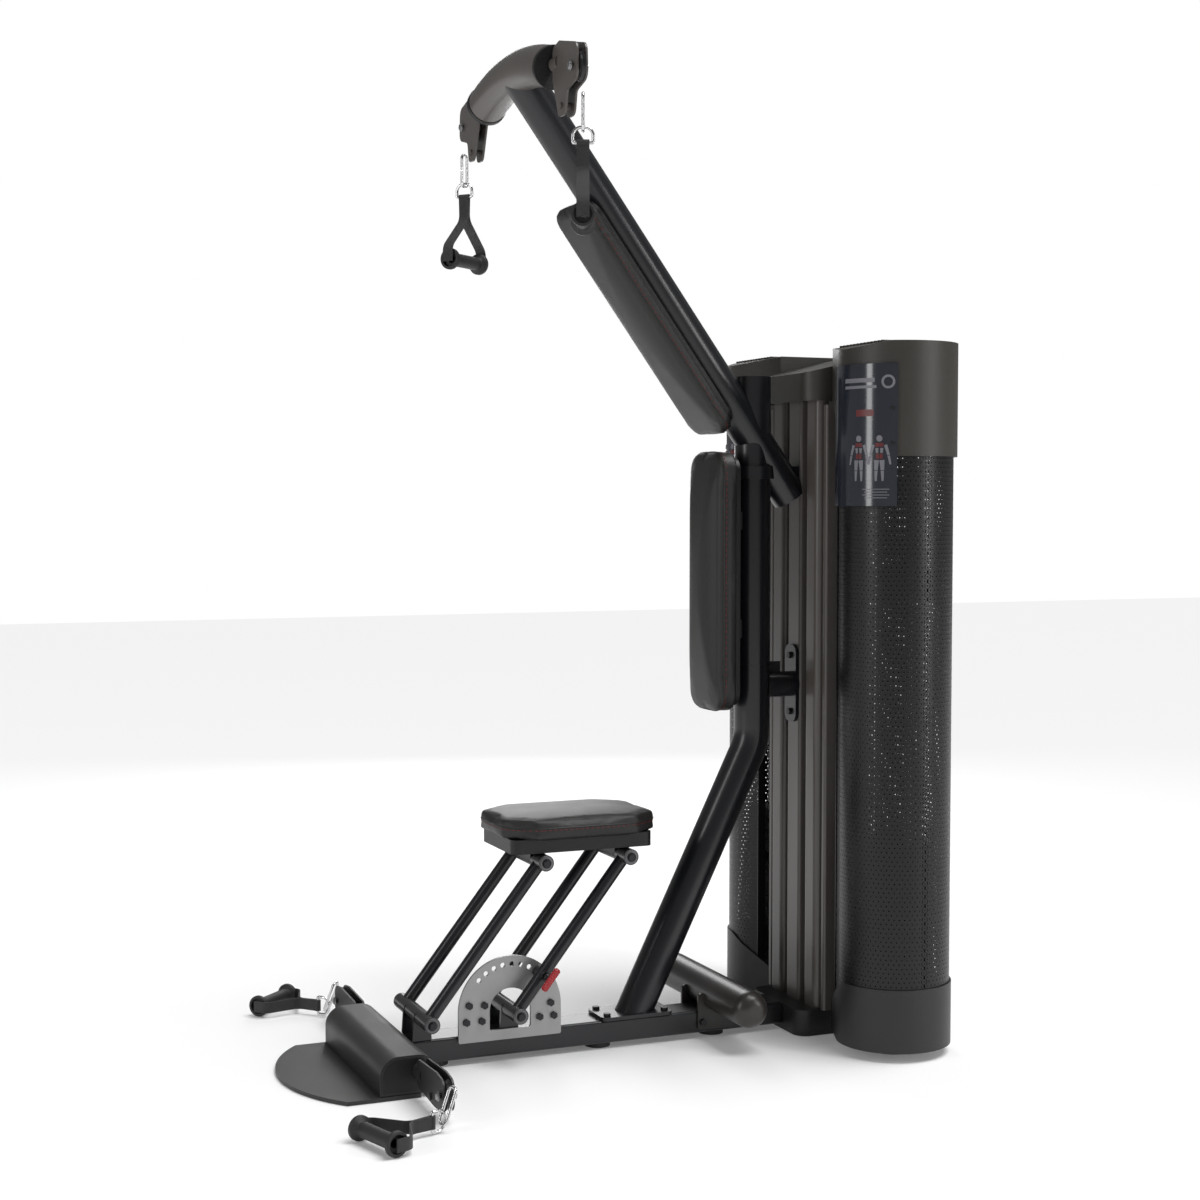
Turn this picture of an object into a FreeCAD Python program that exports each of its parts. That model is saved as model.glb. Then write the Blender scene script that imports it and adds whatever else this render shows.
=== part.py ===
import FreeCAD, Part
import math
import os
import re

import Sketcher

V = FreeCAD.Vector

# A functional trainer: a seat on a swinging parallelogram, a bent spine that carries two back
# pads and a sloping boom, and two weight-stack towers joined by a column. X runs across the
# machine (the placard side is +X), Y runs from the foot plate to the towers, Z is up. The
# shapes are drawn about the spine's axis and then set back by spine_y, so that the origin is
# the middle of the footprint, on the floor.

SIZES = {
    # footprint
    "spine_y": 374, "foot_height": 12, "fit_gap": 0.3,
    # base beam, a rectangular tube
    "beam_wide": 80, "beam_tall": 50, "beam_wall": 4, "beam_front": -804, "beam_rear": 58,
    # foot plate, drum and the tube inside it that carries the low pulleys
    "plate_wide": 436, "plate_thick": 8, "plate_rear": -842, "plate_tip": -1078,
    "plate_round": 320, "drum_wide": 430, "drum_front": -926, "drum_rear": -808,
    "drum_top": 86, "drum_bend": 40, "drum_wall": 4, "drum_end": 5,
    "axle_y": -844, "axle_z": 56, "axle_tube": 20, "spindle": 9, "spindle_out": 46,
    # seat parallelogram
    "arm_x": 79, "arm_tube": 14, "boss_out": 112, "boss": 17,
    "front_pivot_y": -785, "rear_pivot_y": -592, "pivot_z": 111, "arm_length": 405,
    "arm_lean": 38.2, "pivot_shaft": 10, "running_gap": 0.05, "open_pivot_gap": 0.5,
    "sleeve": 17, "sleeve_half": 60, "ear_thick": 8, "ear_foot": 21,
    # index plate and pull pin
    "index_round": 115, "index_arch": 46, "index_thick": 6, "index_holes": 9,
    "index_pitch": 12, "index_ring": 97, "index_hole": 5.5, "index_x": 40.3,
    "index_lap": 14, "bolt_shank": 3.4,
    "pin_shaft": 5, "pin_housing": 11, "pin_grip": 8, "pin_grip_long": 56, "pin_out": 130,
    # seat
    "pan_wide": 200, "pan_front": -605, "pan_rear": -285, "pan_low": 449, "pan_tall": 30,
    "seat_wide": 250, "seat_nose": 150, "seat_front": -621, "seat_rear": -268,
    "seat_slope": 62, "seat_tall": 50, "seat_round": 12, "seat_corner": 14,
    # spine
    "spine_tube": 40, "spine_wall": 4, "spine_foot_y": -295, "spine_bend_z": 650,
    "spine_bend": 120, "spine_seam": 823, "spine_top": 1462, "flange_front": -380,
    "flange_rear": -212, "flange_wide": 96, "flange_thick": 8,
    # strut and cross tube
    "strut_tube": 28.5, "strut_z": 775, "strut_plate_low": 690, "strut_plate_high": 864,
    "strut_plate_thick": 8, "cross_y": -100, "cross_z": 97, "cross_tube": 40,
    "cross_half": 222, "cross_round": 30, "saddle_thick": 6,
    # boom and head
    "boom_tube": 41, "boom_wall": 4, "boom_foot_y": 94, "boom_foot_z": 1196,
    "boom_tip_y": -552, "boom_tip_z": 2082, "head_tube": 42.5, "head_wall": 4,
    "head_half": 200, "head_rise": 29, "head_y": -552, "head_end_z": 2055,
    "head_cap": 0.9, "collar_z": 1236, "collar_tall": 28, "collar_round": 50,
    # column
    "bar_pitch": 79, "bar_wide": 58, "bar_deep": 36, "bar_wall": 3, "bar_bend": 14,
    "column_front": 105, "bar_top": 1418,
    "post_x": 125, "post_wide": 18, "post_deep": 110, "base_tall": 58, "base_half": 118,
    "hood_half": 116, "hood_front": 78, "hood_low": 1407, "hood_front_z": 1468,
    "hood_rear_z": 1530, "hood_round": 42, "shell_wall": 4, "back_y": 330,
    # towers
    "tower_inner": 136, "tower_outer": 385, "tower_front": 136, "tower_corner": 30,
    "tower_nose": 118, "cover_low": 60, "cover_high": 1420, "cover_wall": 3,
    "slot_edge": 186, "boot_inner_z": 85, "boot_nose_z": 155, "boot_floor": 20,
    "hat_inner_z": 1405, "hat_nose_z": 1280, "hat_front_z": 1494, "hat_rear_z": 1568,
    "hat_out": 8, "tower_foot": 55, "tower_foot_x": 265, "tower_foot_y": 208,
    "brace_low": 963, "brace_tall": 75, "brace_half": 262, "brace_thick": 12,
    # placards
    "placard_low": 1176, "placard_tall": 296, "placard_thick": 5, "placard_sweep": 80,
    "placard_turn": 70,
    # weight stacks
    "stack_x": 250, "stack_y": 216, "weight_wide": 178, "weight_deep": 100,
    "weight_thick": 24, "weight_pitch": 26, "resting_count": 10, "lifted_count": 5,
    "stack_floor": 62, "rod_half": 68, "rod": 9, "rod_low": 40, "rod_high": 1400,
    "rod_gap": 1, "stem": 8, "stem_high": 40, "selector": 4.5,
    "cable": 2.5, "crown_z": 1364, "crown_sheave": 30, "crown_bore": 8, "crown_half": 7,
    # back pads
    "low_pad_wide": 168, "low_pad_low": 724, "low_pad_tall": 571, "low_pad_front": -137,
    "low_pad_thick": 62, "board_thick": 10, "board_inset": 12,
    "high_pad_wide": 174, "high_pad_tall": 590, "high_pad_thick": 42,
    "high_pad_mid_y": -269, "high_pad_mid_z": 1572, "pad_corner": 34, "pad_round": 14,
    # pulley swivels
    "sheave": 30, "sheave_wide": 12, "sheave_groove": 4, "sheave_bore": 5.1,
    "sheave_pin": 5, "cheek_thick": 4, "cheek_gap": 7.5, "swivel_hub": 16,
    "high_sheave_out": 336, "low_sheave_out": 386, "hub_start": 18, "hub_long": 34,
    "swivel_pin": 3.5,
    # handles
    "wire": 3.2, "hook_long": 78, "hook_wide": 28, "ring_wide": 46, "ring_tall": 36,
    "web_wide": 25, "web_thick": 3, "split": 45, "web_long": 142, "low_web_long": 118,
    "grip_half": 65, "grip": 15, "grip_flange": 24, "flange_long": 9, "grip_bore": 9,
    "grip_mouth": 18,
    "mouth_deep": 10, "web_rod": 6, "high_hook_z": 1975, "low_hook_z": 84, "low_lean": 22,
    "high_yaw_near": -22, "high_yaw_far": -51, "low_yaw_near": 18, "low_yaw_far": -46,
    # bolts and feet
    "bolt_head": 8, "bolt_tall": 6, "beam_foot": 28,
}

doc = FreeCAD.newDocument("functional_trainer")
sheet = doc.addObject("Spreadsheet::Sheet", "sizes")
for row, (alias, amount) in enumerate(SIZES.items(), start=1):
    sheet.set(f"A{row}", alias)
    sheet.set(f"B{row}", str(amount))
    sheet.setAlias(f"B{row}", alias)
doc.recompute()

nodes = {}
WORD = re.compile(r"[a-z_]\w*")


def link(text):
    """The expression with each named size pointing at its cell."""
    return WORD.sub(lambda w: "sizes." + w[0] if w[0] in SIZES else w[0], str(text))


def now(text):
    """What the expression comes to at the present sizes."""
    return float(sheet.evalExpression(link(text)))


def bind(thing, **expressions):
    """Binds each property to an expression; a double underscore stands for a dot."""
    for name, text in expressions.items():
        thing.setExpression(name.replace("__", "."), link(text))
    return thing


def place(thing, x="0", y="0", z="0", axis=None, angle="0"):
    """Puts a shape at x, y, z, turned by angle degrees about axis."""
    if axis:
        thing.Placement = FreeCAD.Placement(V(0, 0, 0), FreeCAD.Rotation(V(*axis), 10))
        bind(thing, Placement__Rotation__Angle=angle)
    return bind(thing, Placement__Base__x=x, Placement__Base__y=y, Placement__Base__z=z)


def node(thing, label, x="0", y="0", z="0", axis=None, angle="0"):
    """Names a finished sub-part and sets it back from the spine to the machine's origin."""
    thing.Label = label
    place(thing, x, f"spine_y + ({y})", z, axis, angle)
    nodes[label] = thing
    return thing


# ---- sketches -------------------------------------------------------------------------------

PLANES = {"XY": "XY_Plane", "XZ": "XZ_Plane", "YZ": "YZ_Plane"}


def new_body(name):
    body = doc.addObject("PartDesign::Body", name)
    body.AllowCompound = True
    return body


def new_sketch(body, plane, offset="0"):
    """A sketch on one of the body's own origin planes, offset along that plane's normal."""
    role = PLANES[plane]
    support = next(o for o in body.Origin.OriginFeatures if o.Role == role)
    sketch = body.newObject("Sketcher::SketchObject", body.Name + "_sketch")
    sketch.AttachmentSupport = [(support, "")]
    sketch.MapMode = "FlatFace"
    return bind(sketch, AttachmentOffset__Base__z=offset)


def dimension(sketch, kind, text, *where):
    index = sketch.addConstraint(Sketcher.Constraint(kind, *where, now(text)))
    sketch.setExpression(f"Constraints[{index}]", link(text))


def pin_point(sketch, geometry, position, x, y):
    dimension(sketch, "DistanceX", x, -1, 1, geometry, position)
    dimension(sketch, "DistanceY", y, -1, 1, geometry, position)


def corner_arc(before, corner, after, radius):
    """Where an arc of this radius leaves the two runs that meet at a corner, and its middle."""
    arriving = (before - corner).normalize()
    leaving = (after - corner).normalize()
    half = arriving.getAngle(leaving) / 2
    reach = radius / math.tan(half)
    middle = (arriving + leaving).normalize() * (radius / math.sin(half) - radius)
    return corner + arriving * reach, corner + middle, corner + leaving * reach


def draw(sketch, corners, closed=True):
    """Straight runs through the corners; a corner with a third entry is turned by an arc."""
    points = [V(now(c[0]), now(c[1]), 0) for c in corners]
    count = len(points)
    inner = range(count) if closed else range(1, count - 1)
    turned = [i for i in inner if len(corners[i]) == 3]
    arcs = {
        i: corner_arc(points[i - 1], points[i], points[(i + 1) % count], now(corners[i][2]))
        for i in turned
    }
    runs = []
    for i in range(count if closed else count - 1):
        j = (i + 1) % count
        start = arcs[i][2] if i in arcs else points[i]
        end = arcs[j][0] if j in arcs else points[j]
        runs.append(sketch.addGeometry(Part.LineSegment(start, end), False))
    for i in range(count):
        arriving = runs[i - 1] if closed or i > 0 else None
        leaving = runs[i] if i < len(runs) else None
        if i in arcs:
            arc = sketch.addGeometry(Part.Arc(*arcs[i]), False)
            near = 1 if (sketch.getPoint(arc, 1) - arcs[i][0]).Length < 1e-6 else 2
            sketch.addConstraint(Sketcher.Constraint("Tangent", arriving, 2, arc, near))
            sketch.addConstraint(Sketcher.Constraint("Tangent", arc, 3 - near, leaving, 1))
            dimension(sketch, "Radius", corners[i][2], arc)
            mark = sketch.addGeometry(Part.Point(points[i]), True)
            for run in (arriving, leaving):
                sketch.addConstraint(Sketcher.Constraint("PointOnObject", mark, 1, run))
            pin_point(sketch, mark, 1, corners[i][0], corners[i][1])
        elif leaving is None:
            pin_point(sketch, arriving, 2, corners[i][0], corners[i][1])
        else:
            if arriving is not None:
                sketch.addConstraint(Sketcher.Constraint("Coincident", arriving, 2, leaving, 1))
            pin_point(sketch, leaving, 1, corners[i][0], corners[i][1])


def ring(sketch, x, y, radius):
    circle = Part.Circle(V(now(x), now(y), 0), V(0, 0, 1), now(radius))
    index = sketch.addGeometry(circle, False)
    pin_point(sketch, index, 3, x, y)
    dimension(sketch, "Radius", radius, index)


# ---- solids ---------------------------------------------------------------------------------

def slab(name, plane, start, length, *outlines, holes=()):
    """A pad of the outlines from start, length deep, towards the third axis."""
    body = new_body(name)
    offset = f"-(({start}) + ({length}))" if plane == "XZ" else start
    sketch = new_sketch(body, plane, offset)
    for outline in outlines:
        draw(sketch, outline)
    for hole in holes:
        ring(sketch, *hole)
    pad = body.newObject("PartDesign::Pad", name + "_pad")
    pad.Profile = sketch
    bind(pad, Length=length)
    return body


def softened(body, radius):
    """Rounds every edge of the first pad's two faces."""
    doc.recompute()
    pad = body.Tip
    fillet = body.newObject("PartDesign::Fillet", body.Name + "_round")
    fillet.Base = (pad, [""])
    fillet.UseAllEdges = True
    bind(fillet, Radius=radius)
    body.Tip = fillet
    return body


def turned(name, plane, axis, outline, angle="360", centred=False, holes=()):
    """A revolution of the outline about one of the body's own axes."""
    body = new_body(name)
    sketch = new_sketch(body, plane)
    if outline:
        draw(sketch, outline)
    for hole in holes:
        ring(sketch, *hole)
    about = next(o for o in body.Origin.OriginFeatures if o.Role == axis)
    spin = body.newObject("PartDesign::Revolution", name + "_turn")
    spin.Profile = sketch
    spin.ReferenceAxis = (about, [""])
    spin.Midplane = centred
    bind(spin, Angle=angle)
    return body


def pipe(name, plane, corners, profile_plane, offset, centre, radius, wall=None):
    """A round section, hollow where it has a wall, swept along runs joined by arcs."""
    body = new_body(name)
    path = new_sketch(body, plane)
    draw(path, corners, False)
    section = new_sketch(body, profile_plane, offset)
    ring(section, *centre, radius)
    if wall:
        ring(section, *centre, f"({radius}) - ({wall})")
    sweep = body.newObject("PartDesign::AdditivePipe", name + "_sweep")
    sweep.Profile = section
    sweep.Spine = path
    return body


def block(name, x0, x1, y0, y1, z0, z1):
    """A box between two values on each axis."""
    box = doc.addObject("Part::Box", name)
    bind(box, Length=f"({x1}) - ({x0})", Width=f"({y1}) - ({y0})", Height=f"({z1}) - ({z0})")
    return place(box, x0, y0, z0)


AXES = {"X": (0, 1, 0), "Y": (-1, 0, 0), "Z": None}


def rod(name, along, radius, start, end, x="0", y="0", z="0"):
    """A cylinder along one axis from start to end; the other two values place its axis."""
    cylinder = doc.addObject("Part::Cylinder", name)
    bind(cylinder, Radius=radius, Height=f"({end}) - ({start})")
    spot = {"X": (start, y, z), "Y": (x, start, z), "Z": (x, y, start)}[along]
    return place(cylinder, *spot, AXES[along], "90")


def fuse(name, *shapes):
    whole = shapes[0]
    for i, shape in enumerate(shapes[1:]):
        joined = doc.addObject("Part::Fuse", f"{name}_join{i}")
        joined.Base = whole
        joined.Tool = shape
        whole = joined
    return whole


def cut(name, base, *tools):
    for i, tool in enumerate(tools):
        trimmed = doc.addObject("Part::Cut", f"{name}_cut{i}")
        trimmed.Base = base
        trimmed.Tool = tool
        base = trimmed
    return base


def gather(name, shapes):
    """Separate solids kept as one sub-part."""
    group = doc.addObject("Part::Compound", name)
    group.Links = shapes
    return group


def rectangle(x0, x1, y0, y1, *radius):
    return [(x0, y0, *radius), (x1, y0, *radius), (x1, y1, *radius), (x0, y1, *radius)]


SIDES = (("near", 1), ("far", -1))

# ---- base beam, foot plate and drum ---------------------------------------------------------

beam_high = "foot_height + beam_tall"
beam = slab(
    "base_beam", "XZ", "beam_front", "beam_rear - beam_front",
    rectangle("-beam_wide / 2", "beam_wide / 2", "foot_height", beam_high, "6"),
    rectangle("-beam_wide / 2 + beam_wall", "beam_wide / 2 - beam_wall",
              "foot_height + beam_wall", f"{beam_high} - beam_wall", "3"),
)
node(beam, "base_beam")

# a board with straight sides and a bowed front, flat on the floor
plate_box = block("plate_box", "-plate_wide / 2", "plate_wide / 2", "plate_tip - 10",
                  "plate_rear", "0", "plate_thick")
plate_bow = rod("plate_bow", "Z", "plate_round", "0", "plate_thick",
                y="plate_tip + plate_round")
foot_plate = doc.addObject("Part::Common", "foot_plate")
foot_plate.Base = plate_box
foot_plate.Tool = plate_bow
node(foot_plate, "foot_plate")


def drum_profile(inset):
    return [
        (f"drum_front + {inset}", "plate_thick"),
        (f"drum_front + {inset}", f"drum_top - {inset}", f"drum_bend - {inset}"),
        (f"drum_rear - {inset}", f"drum_top - {inset}", f"drum_bend - {inset}"),
        (f"drum_rear - {inset}", "plate_thick"),
    ]


drum_skin = slab("drum_skin", "YZ", "-drum_wide / 2", "drum_wide", drum_profile("0"))
drum_room = slab("drum_room", "YZ", "-drum_wide / 2 + drum_end", "drum_wide - 2 * drum_end",
                 drum_profile("drum_wall"))
drum_ports = rod("drum_ports", "X", "spindle + 2", "-drum_wide / 2 - 1", "drum_wide / 2 + 1",
                 y="axle_y", z="axle_z")
node(cut("foot_drum", drum_skin, drum_room, drum_ports), "foot_drum")

# the tube in the drum, with a spindle at each end for a pulley swivel
axle_half = "(drum_wide / 2 - drum_end - 2)"
crossbar = fuse(
    "crossbar",
    rod("axle", "X", "axle_tube", f"-{axle_half}", axle_half, y="axle_y", z="axle_z"),
    rod("axle_spindles", "X", "spindle", "-drum_wide / 2 - spindle_out",
        "drum_wide / 2 + spindle_out", y="axle_y", z="axle_z"),
)
node(crossbar, "pulley_crossbar")

# ---- seat linkage ---------------------------------------------------------------------------

lean_y = "arm_length * sin(arm_lean)"
lean_z = "arm_length * cos(arm_lean)"


def ear_profile(centre):
    top = "pivot_z + sleeve - 3"
    return [
        (f"{centre} - ear_foot", beam_high),
        (f"{centre} - sleeve", top, "12"),
        (f"{centre} + sleeve", top, "12"),
        (f"{centre} + ear_foot", beam_high),
    ]


def pivot_saddle(name, centre):
    """A sleeve across the beam on two ears, bored for the pivot shaft."""
    ears = [
        slab(f"{name}_ear{i}", "YZ", start, "ear_thick", ear_profile(centre))
        for i, start in enumerate(("-beam_wide / 2", "beam_wide / 2 - ear_thick"))
    ]
    sleeve = rod(f"{name}_sleeve", "X", "sleeve", "-sleeve_half", "sleeve_half",
                 y=centre, z="pivot_z")
    bore = rod(f"{name}_bore", "X", "pivot_shaft + running_gap", "-sleeve_half - 1",
               "sleeve_half + 1", y=centre, z="pivot_z")
    return cut(name, fuse(name, sleeve, *ears), bore)


node(gather("saddles", [pivot_saddle("front_saddle", "front_pivot_y"),
                        pivot_saddle("rear_saddle", "rear_pivot_y")]), "link_brackets")


def seat_link(name, centre, top_shaft, extras=()):
    """Two tubular arms on a bottom shaft and a top shaft, welded into one frame."""
    shapes = [rod(f"{name}_low_shaft", "X", "pivot_shaft", "-arm_x", "arm_x",
                  y=centre, z="pivot_z"),
              rod(f"{name}_high_shaft", "X", top_shaft, "-arm_x", "arm_x",
                  y=f"{centre} + {lean_y}", z=f"pivot_z + {lean_z}")]
    for side, hand in SIDES:
        arm = doc.addObject("Part::Cylinder", f"{name}_arm_{side}")
        bind(arm, Radius="arm_tube", Height="arm_length")
        place(arm, f"{hand} * arm_x", centre, "pivot_z", (-1, 0, 0), "arm_lean")
        shapes.append(arm)
        ends = sorted((f"{hand} * (sleeve_half + fit_gap)", f"{hand} * boss_out"), key=now)
        for level, dy, dz in (("low", "0", "0"), ("high", lean_y, lean_z)):
            shapes.append(rod(f"{name}_boss_{level}_{side}", "X", "boss", *ends,
                              y=f"{centre} + {dy}", z=f"pivot_z + {dz}"))
    return fuse(name, *shapes, *extras)


node(seat_link("front_link", "front_pivot_y",
               "pivot_shaft + running_gap - open_pivot_gap"), "front_links")

# the pull pin crosses the near rear arm in a housing and drops into the index plate
pin_y = "(rear_pivot_y + index_ring * sin(arm_lean))"
pin_z = "(pivot_z + index_ring * cos(arm_lean))"
housing = rod("pin_housing", "X", "pin_housing", "index_x + index_thick + 3",
              "arm_x + arm_tube + 12", y=pin_y, z=pin_z)
pin_bore = rod("pin_bore", "X", "pin_shaft + running_gap", "0", "pin_out", y=pin_y, z=pin_z)
node(cut("rear_link", seat_link("rear_link", "rear_pivot_y", "pivot_shaft", [housing]),
         pin_bore), "rear_links")
pull_pin = fuse(
    "pull_pin",
    rod("pin_rod", "X", "pin_shaft", "index_x + index_thick + 1", "pin_out", y=pin_y, z=pin_z),
    place(bind(doc.addObject("Part::Cylinder", "pin_bar"), Radius="pin_grip",
               Height="pin_grip_long"),
          "pin_out", f"{pin_y} - pin_grip_long * 0.7 * sin(arm_lean)",
          f"{pin_z} - pin_grip_long * 0.7 * cos(arm_lean)", (-1, 0, 0), "arm_lean"),
)
node(pull_pin, "pull_pin")

# a cut plate on the beam's near side, drawn about the rear pivot, as its bolts' places are
INDEX_BOLTS = (("-92", "16"), ("-58", "14"), ("-98", "-19"), ("-64", "-19"),
               ("66", "-22"), ("98", "-22"), ("91", "6"))
index_body = slab(
    "index_plate", "YZ", "index_x", "index_thick",
    [("-index_round", f"{beam_high} - index_lap - pivot_z", "4"),
     ("-index_round", "index_round", "index_round - 0.5"),
     ("index_round", "index_round", "index_round - 0.5"),
     ("index_round", f"{beam_high} - index_lap - pivot_z", "4")],
    [("-index_arch", f"{beam_high} + 8 - pivot_z", "4"),
     ("-index_arch", "index_arch", "index_arch - 0.5"),
     ("index_arch", "index_arch", "index_arch - 0.5"),
     ("index_arch", f"{beam_high} + 8 - pivot_z", "4")],
    holes=[(y, z, "bolt_shank") for y, z in INDEX_BOLTS],
)
first_hole = new_sketch(index_body, "YZ", "index_x - 1")
ring(first_hole, "index_ring * sin(arm_lean + index_pitch)",
     "index_ring * cos(arm_lean + index_pitch)", "index_hole")
pocket = index_body.newObject("PartDesign::Pocket", "index_pocket")
pocket.Profile = first_hole
pocket.Reversed = True
bind(pocket, Length="index_thick + 2")
doc.recompute()
around = index_body.newObject("PartDesign::PolarPattern", "index_pattern")
around.Originals = [pocket]
around.Axis = (next(o for o in index_body.Origin.OriginFeatures if o.Role == "X_Axis"), [""])
around.Mode = "Spacing"
bind(around, Offset="index_pitch", Occurrences="index_holes")
index_body.Tip = around
node(index_body, "index_plate", y="rear_pivot_y", z="pivot_z")

# seat pan with two sleeves under it, and the cushion
high_front_y = f"front_pivot_y + {lean_y}"
high_rear_y = f"rear_pivot_y + {lean_y}"
high_z = f"pivot_z + {lean_z}"
pan = slab("seat_pan_tray", "XY", "pan_low", "pan_tall",
           rectangle("-pan_wide / 2", "pan_wide / 2", "pan_front", "pan_rear", "18"))
pan_shapes, pan_bores = [pan], []
for name, y in (("front", high_front_y), ("rear", high_rear_y)):
    pan_shapes.append(block(f"pan_ear_{name}", "-sleeve_half", "sleeve_half", f"{y} - sleeve",
                            f"{y} + sleeve", high_z, "pan_low + 2"))
    pan_shapes.append(rod(f"pan_sleeve_{name}", "X", "sleeve", "-sleeve_half", "sleeve_half",
                          y=y, z=high_z))
    pan_bores.append(rod(f"pan_bore_{name}", "X", "pivot_shaft + running_gap",
                         "-sleeve_half - 1", "sleeve_half + 1", y=y, z=high_z))
node(cut("seat_pan", fuse("seat_pan", *pan_shapes), *pan_bores), "seat_pan")
seat_pad = softened(slab(
    "seat_cushion", "XY", "pan_low + pan_tall", "seat_tall",
    [("-seat_nose / 2", "seat_front", "seat_corner"),
     ("seat_nose / 2", "seat_front", "seat_corner"),
     ("seat_wide / 2", "seat_front + seat_slope", "2 * seat_corner"),
     ("seat_wide / 2", "seat_rear - seat_slope", "2 * seat_corner"),
     ("seat_nose / 2", "seat_rear", "seat_corner"),
     ("-seat_nose / 2", "seat_rear", "seat_corner"),
     ("-seat_wide / 2", "seat_rear - seat_slope", "2 * seat_corner"),
     ("-seat_wide / 2", "seat_front + seat_slope", "2 * seat_corner")]), "seat_round")
node(seat_pad, "seat_cushion")

# ---- spine, flange, strut and cross tube ----------------------------------------------------

flange_high = f"{beam_high} + flange_thick"
spine_pipe = pipe(
    "spine_pipe", "YZ",
    [("0", "spine_seam"), ("0", "spine_bend_z", "spine_bend"), ("spine_foot_y", "beam_tall")],
    "XY", "spine_seam", ("0", "0"), "spine_tube", wall="spine_wall",
)
below = block("spine_trim", "-150", "150", "spine_foot_y - 150", "spine_foot_y + 150",
              "-200", f"{flange_high} - 1")
flange = slab("spine_flange", "XY", beam_high, "flange_thick",
              rectangle("-flange_wide / 2", "flange_wide / 2", "flange_front", "flange_rear",
                        "14"))
node(fuse("spine_lower", cut("spine_lower", spine_pipe, below), flange), "spine_lower")

boom_run = "sqrt((boom_tip_y - boom_foot_y)^2 + (boom_tip_z - boom_foot_z)^2)"
boom_tilt = "atan((boom_foot_y - boom_tip_y) / (boom_tip_z - boom_foot_z))"


def boom_rod(name, radius, start, end):
    """A cylinder along the boom's axis, measured from its foot."""
    cylinder = doc.addObject("Part::Cylinder", name)
    bind(cylinder, Radius=radius, Height=f"({end}) - ({start})")
    return place(cylinder, "0", f"boom_foot_y - ({start}) * sin({boom_tilt})",
                 f"boom_foot_z + ({start}) * cos({boom_tilt})", (1, 0, 0), boom_tilt)


spine_rise = "spine_seam + fit_gap"
spine_shell = cut(
    "spine_shell",
    rod("spine_outer", "Z", "spine_tube", spine_rise, "spine_top"),
    rod("spine_inner", "Z", "spine_tube - spine_wall", f"{spine_rise} - 1",
        "spine_top - spine_wall"),
    boom_rod("spine_boom_cut", "boom_tube + fit_gap", "-200", "600"),
)
node(spine_shell, "spine_upper")

strut_plate_y = "column_front - strut_plate_thick"
strut = fuse(
    "strut",
    rod("strut_bar", "Y", "strut_tube", "0", "column_front", z="strut_z"),
    slab("strut_plate", "XZ", strut_plate_y, "strut_plate_thick",
         rectangle("-26", "26", "strut_plate_low", "strut_plate_high", "20")),
    block("strut_gusset", "-3", "3", "0", "70", "strut_z", "strut_z + 52"),
)
spine_clear = rod("strut_cope", "Z", "spine_tube + fit_gap", "strut_z - 100", "strut_z + 100")
node(cut("strut", strut, spine_clear), "spine_strut")

cross = turned(
    "cross_pipe", "XZ", "X_Axis",
    [("-cross_half", "0"), ("-cross_half", "cross_tube", "cross_round"),
     ("cross_half", "cross_tube", "cross_round"), ("cross_half", "0")])
place(cross, y="cross_y", z="cross_z")
cross_room = rod("cross_room", "X", "cross_tube - spine_wall", "-cross_half + 40",
                 "cross_half - 40", y="cross_y", z="cross_z")
saddles = [
    slab(f"cross_saddle{i}", "YZ", start, "saddle_thick",
         [("cross_y - 52", "foot_height + 8", "8"), ("cross_y + 52", "foot_height + 8", "8"),
          ("cross_y + 52", "cross_z + 4", "8"), ("cross_y - 52", "cross_z + 4", "8")])
    for i, start in enumerate(("-beam_wide / 2 - saddle_thick", "beam_wide / 2"))
]
beam_clear = block("cross_cope", "-beam_wide / 2", "beam_wide / 2", "cross_y - 60",
                   "cross_y + 60", "0", beam_high)
node(cut("cross_tube", fuse("cross_tube", cut("cross_hollow", cross, cross_room), *saddles),
         beam_clear), "cross_tube")

# ---- boom and head --------------------------------------------------------------------------

head_radius = "(head_half^2 + head_rise^2) / (2 * head_rise)"
head_spread = f"2 * asin(head_half / ({head_radius}))"


def head_arc(name, radius, spread, wall=None):
    """A tube bent to the head's arc, which rises to its middle."""
    holes = [(head_radius, "0", radius)]
    if wall:
        holes.append((head_radius, "0", f"{radius} - {wall}"))
    arc = turned(name, "YZ", "Z_Axis", None, spread, True, holes)
    return place(arc, "0", "head_y", f"head_end_z + head_rise - {head_radius}", (1, 0, 0), "90")


head_pipe = head_arc("head_pipe", "head_tube", head_spread, "head_wall")
node(gather("head", [head_pipe]), "head_tube")
boom_solid = cut("boom_hollow", boom_rod("boom_outer", "boom_tube", "0", boom_run),
                 boom_rod("boom_inner", "boom_tube - boom_wall", "boom_wall", boom_run))
head_clear = head_arc("head_clear", "head_tube + fit_gap", head_spread)
column_clear = block("boom_foot_trim", "-60", "60", "column_front", "column_front + 80",
                     "boom_foot_z - 120", "boom_foot_z + 120")
node(cut("boom", boom_solid, head_clear, column_clear), "boom_tube")
caps = cut("head_caps",
           head_arc("cap_outer", "head_tube + 1.5", f"{head_spread} + 2 deg * head_cap"),
           head_arc("cap_inner", "head_tube + 3", head_spread))
cap_spindles = [rod(f"head_spindle_{side}", "X", "spindle",
                    *sorted((f"{hand} * (head_half + 4)",
                             f"{hand} * (head_half + hub_start + hub_long)"), key=now),
                    y="head_y", z="head_end_z") for side, hand in SIDES]
node(fuse("head_caps", caps, *cap_spindles), "head_caps")

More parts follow.
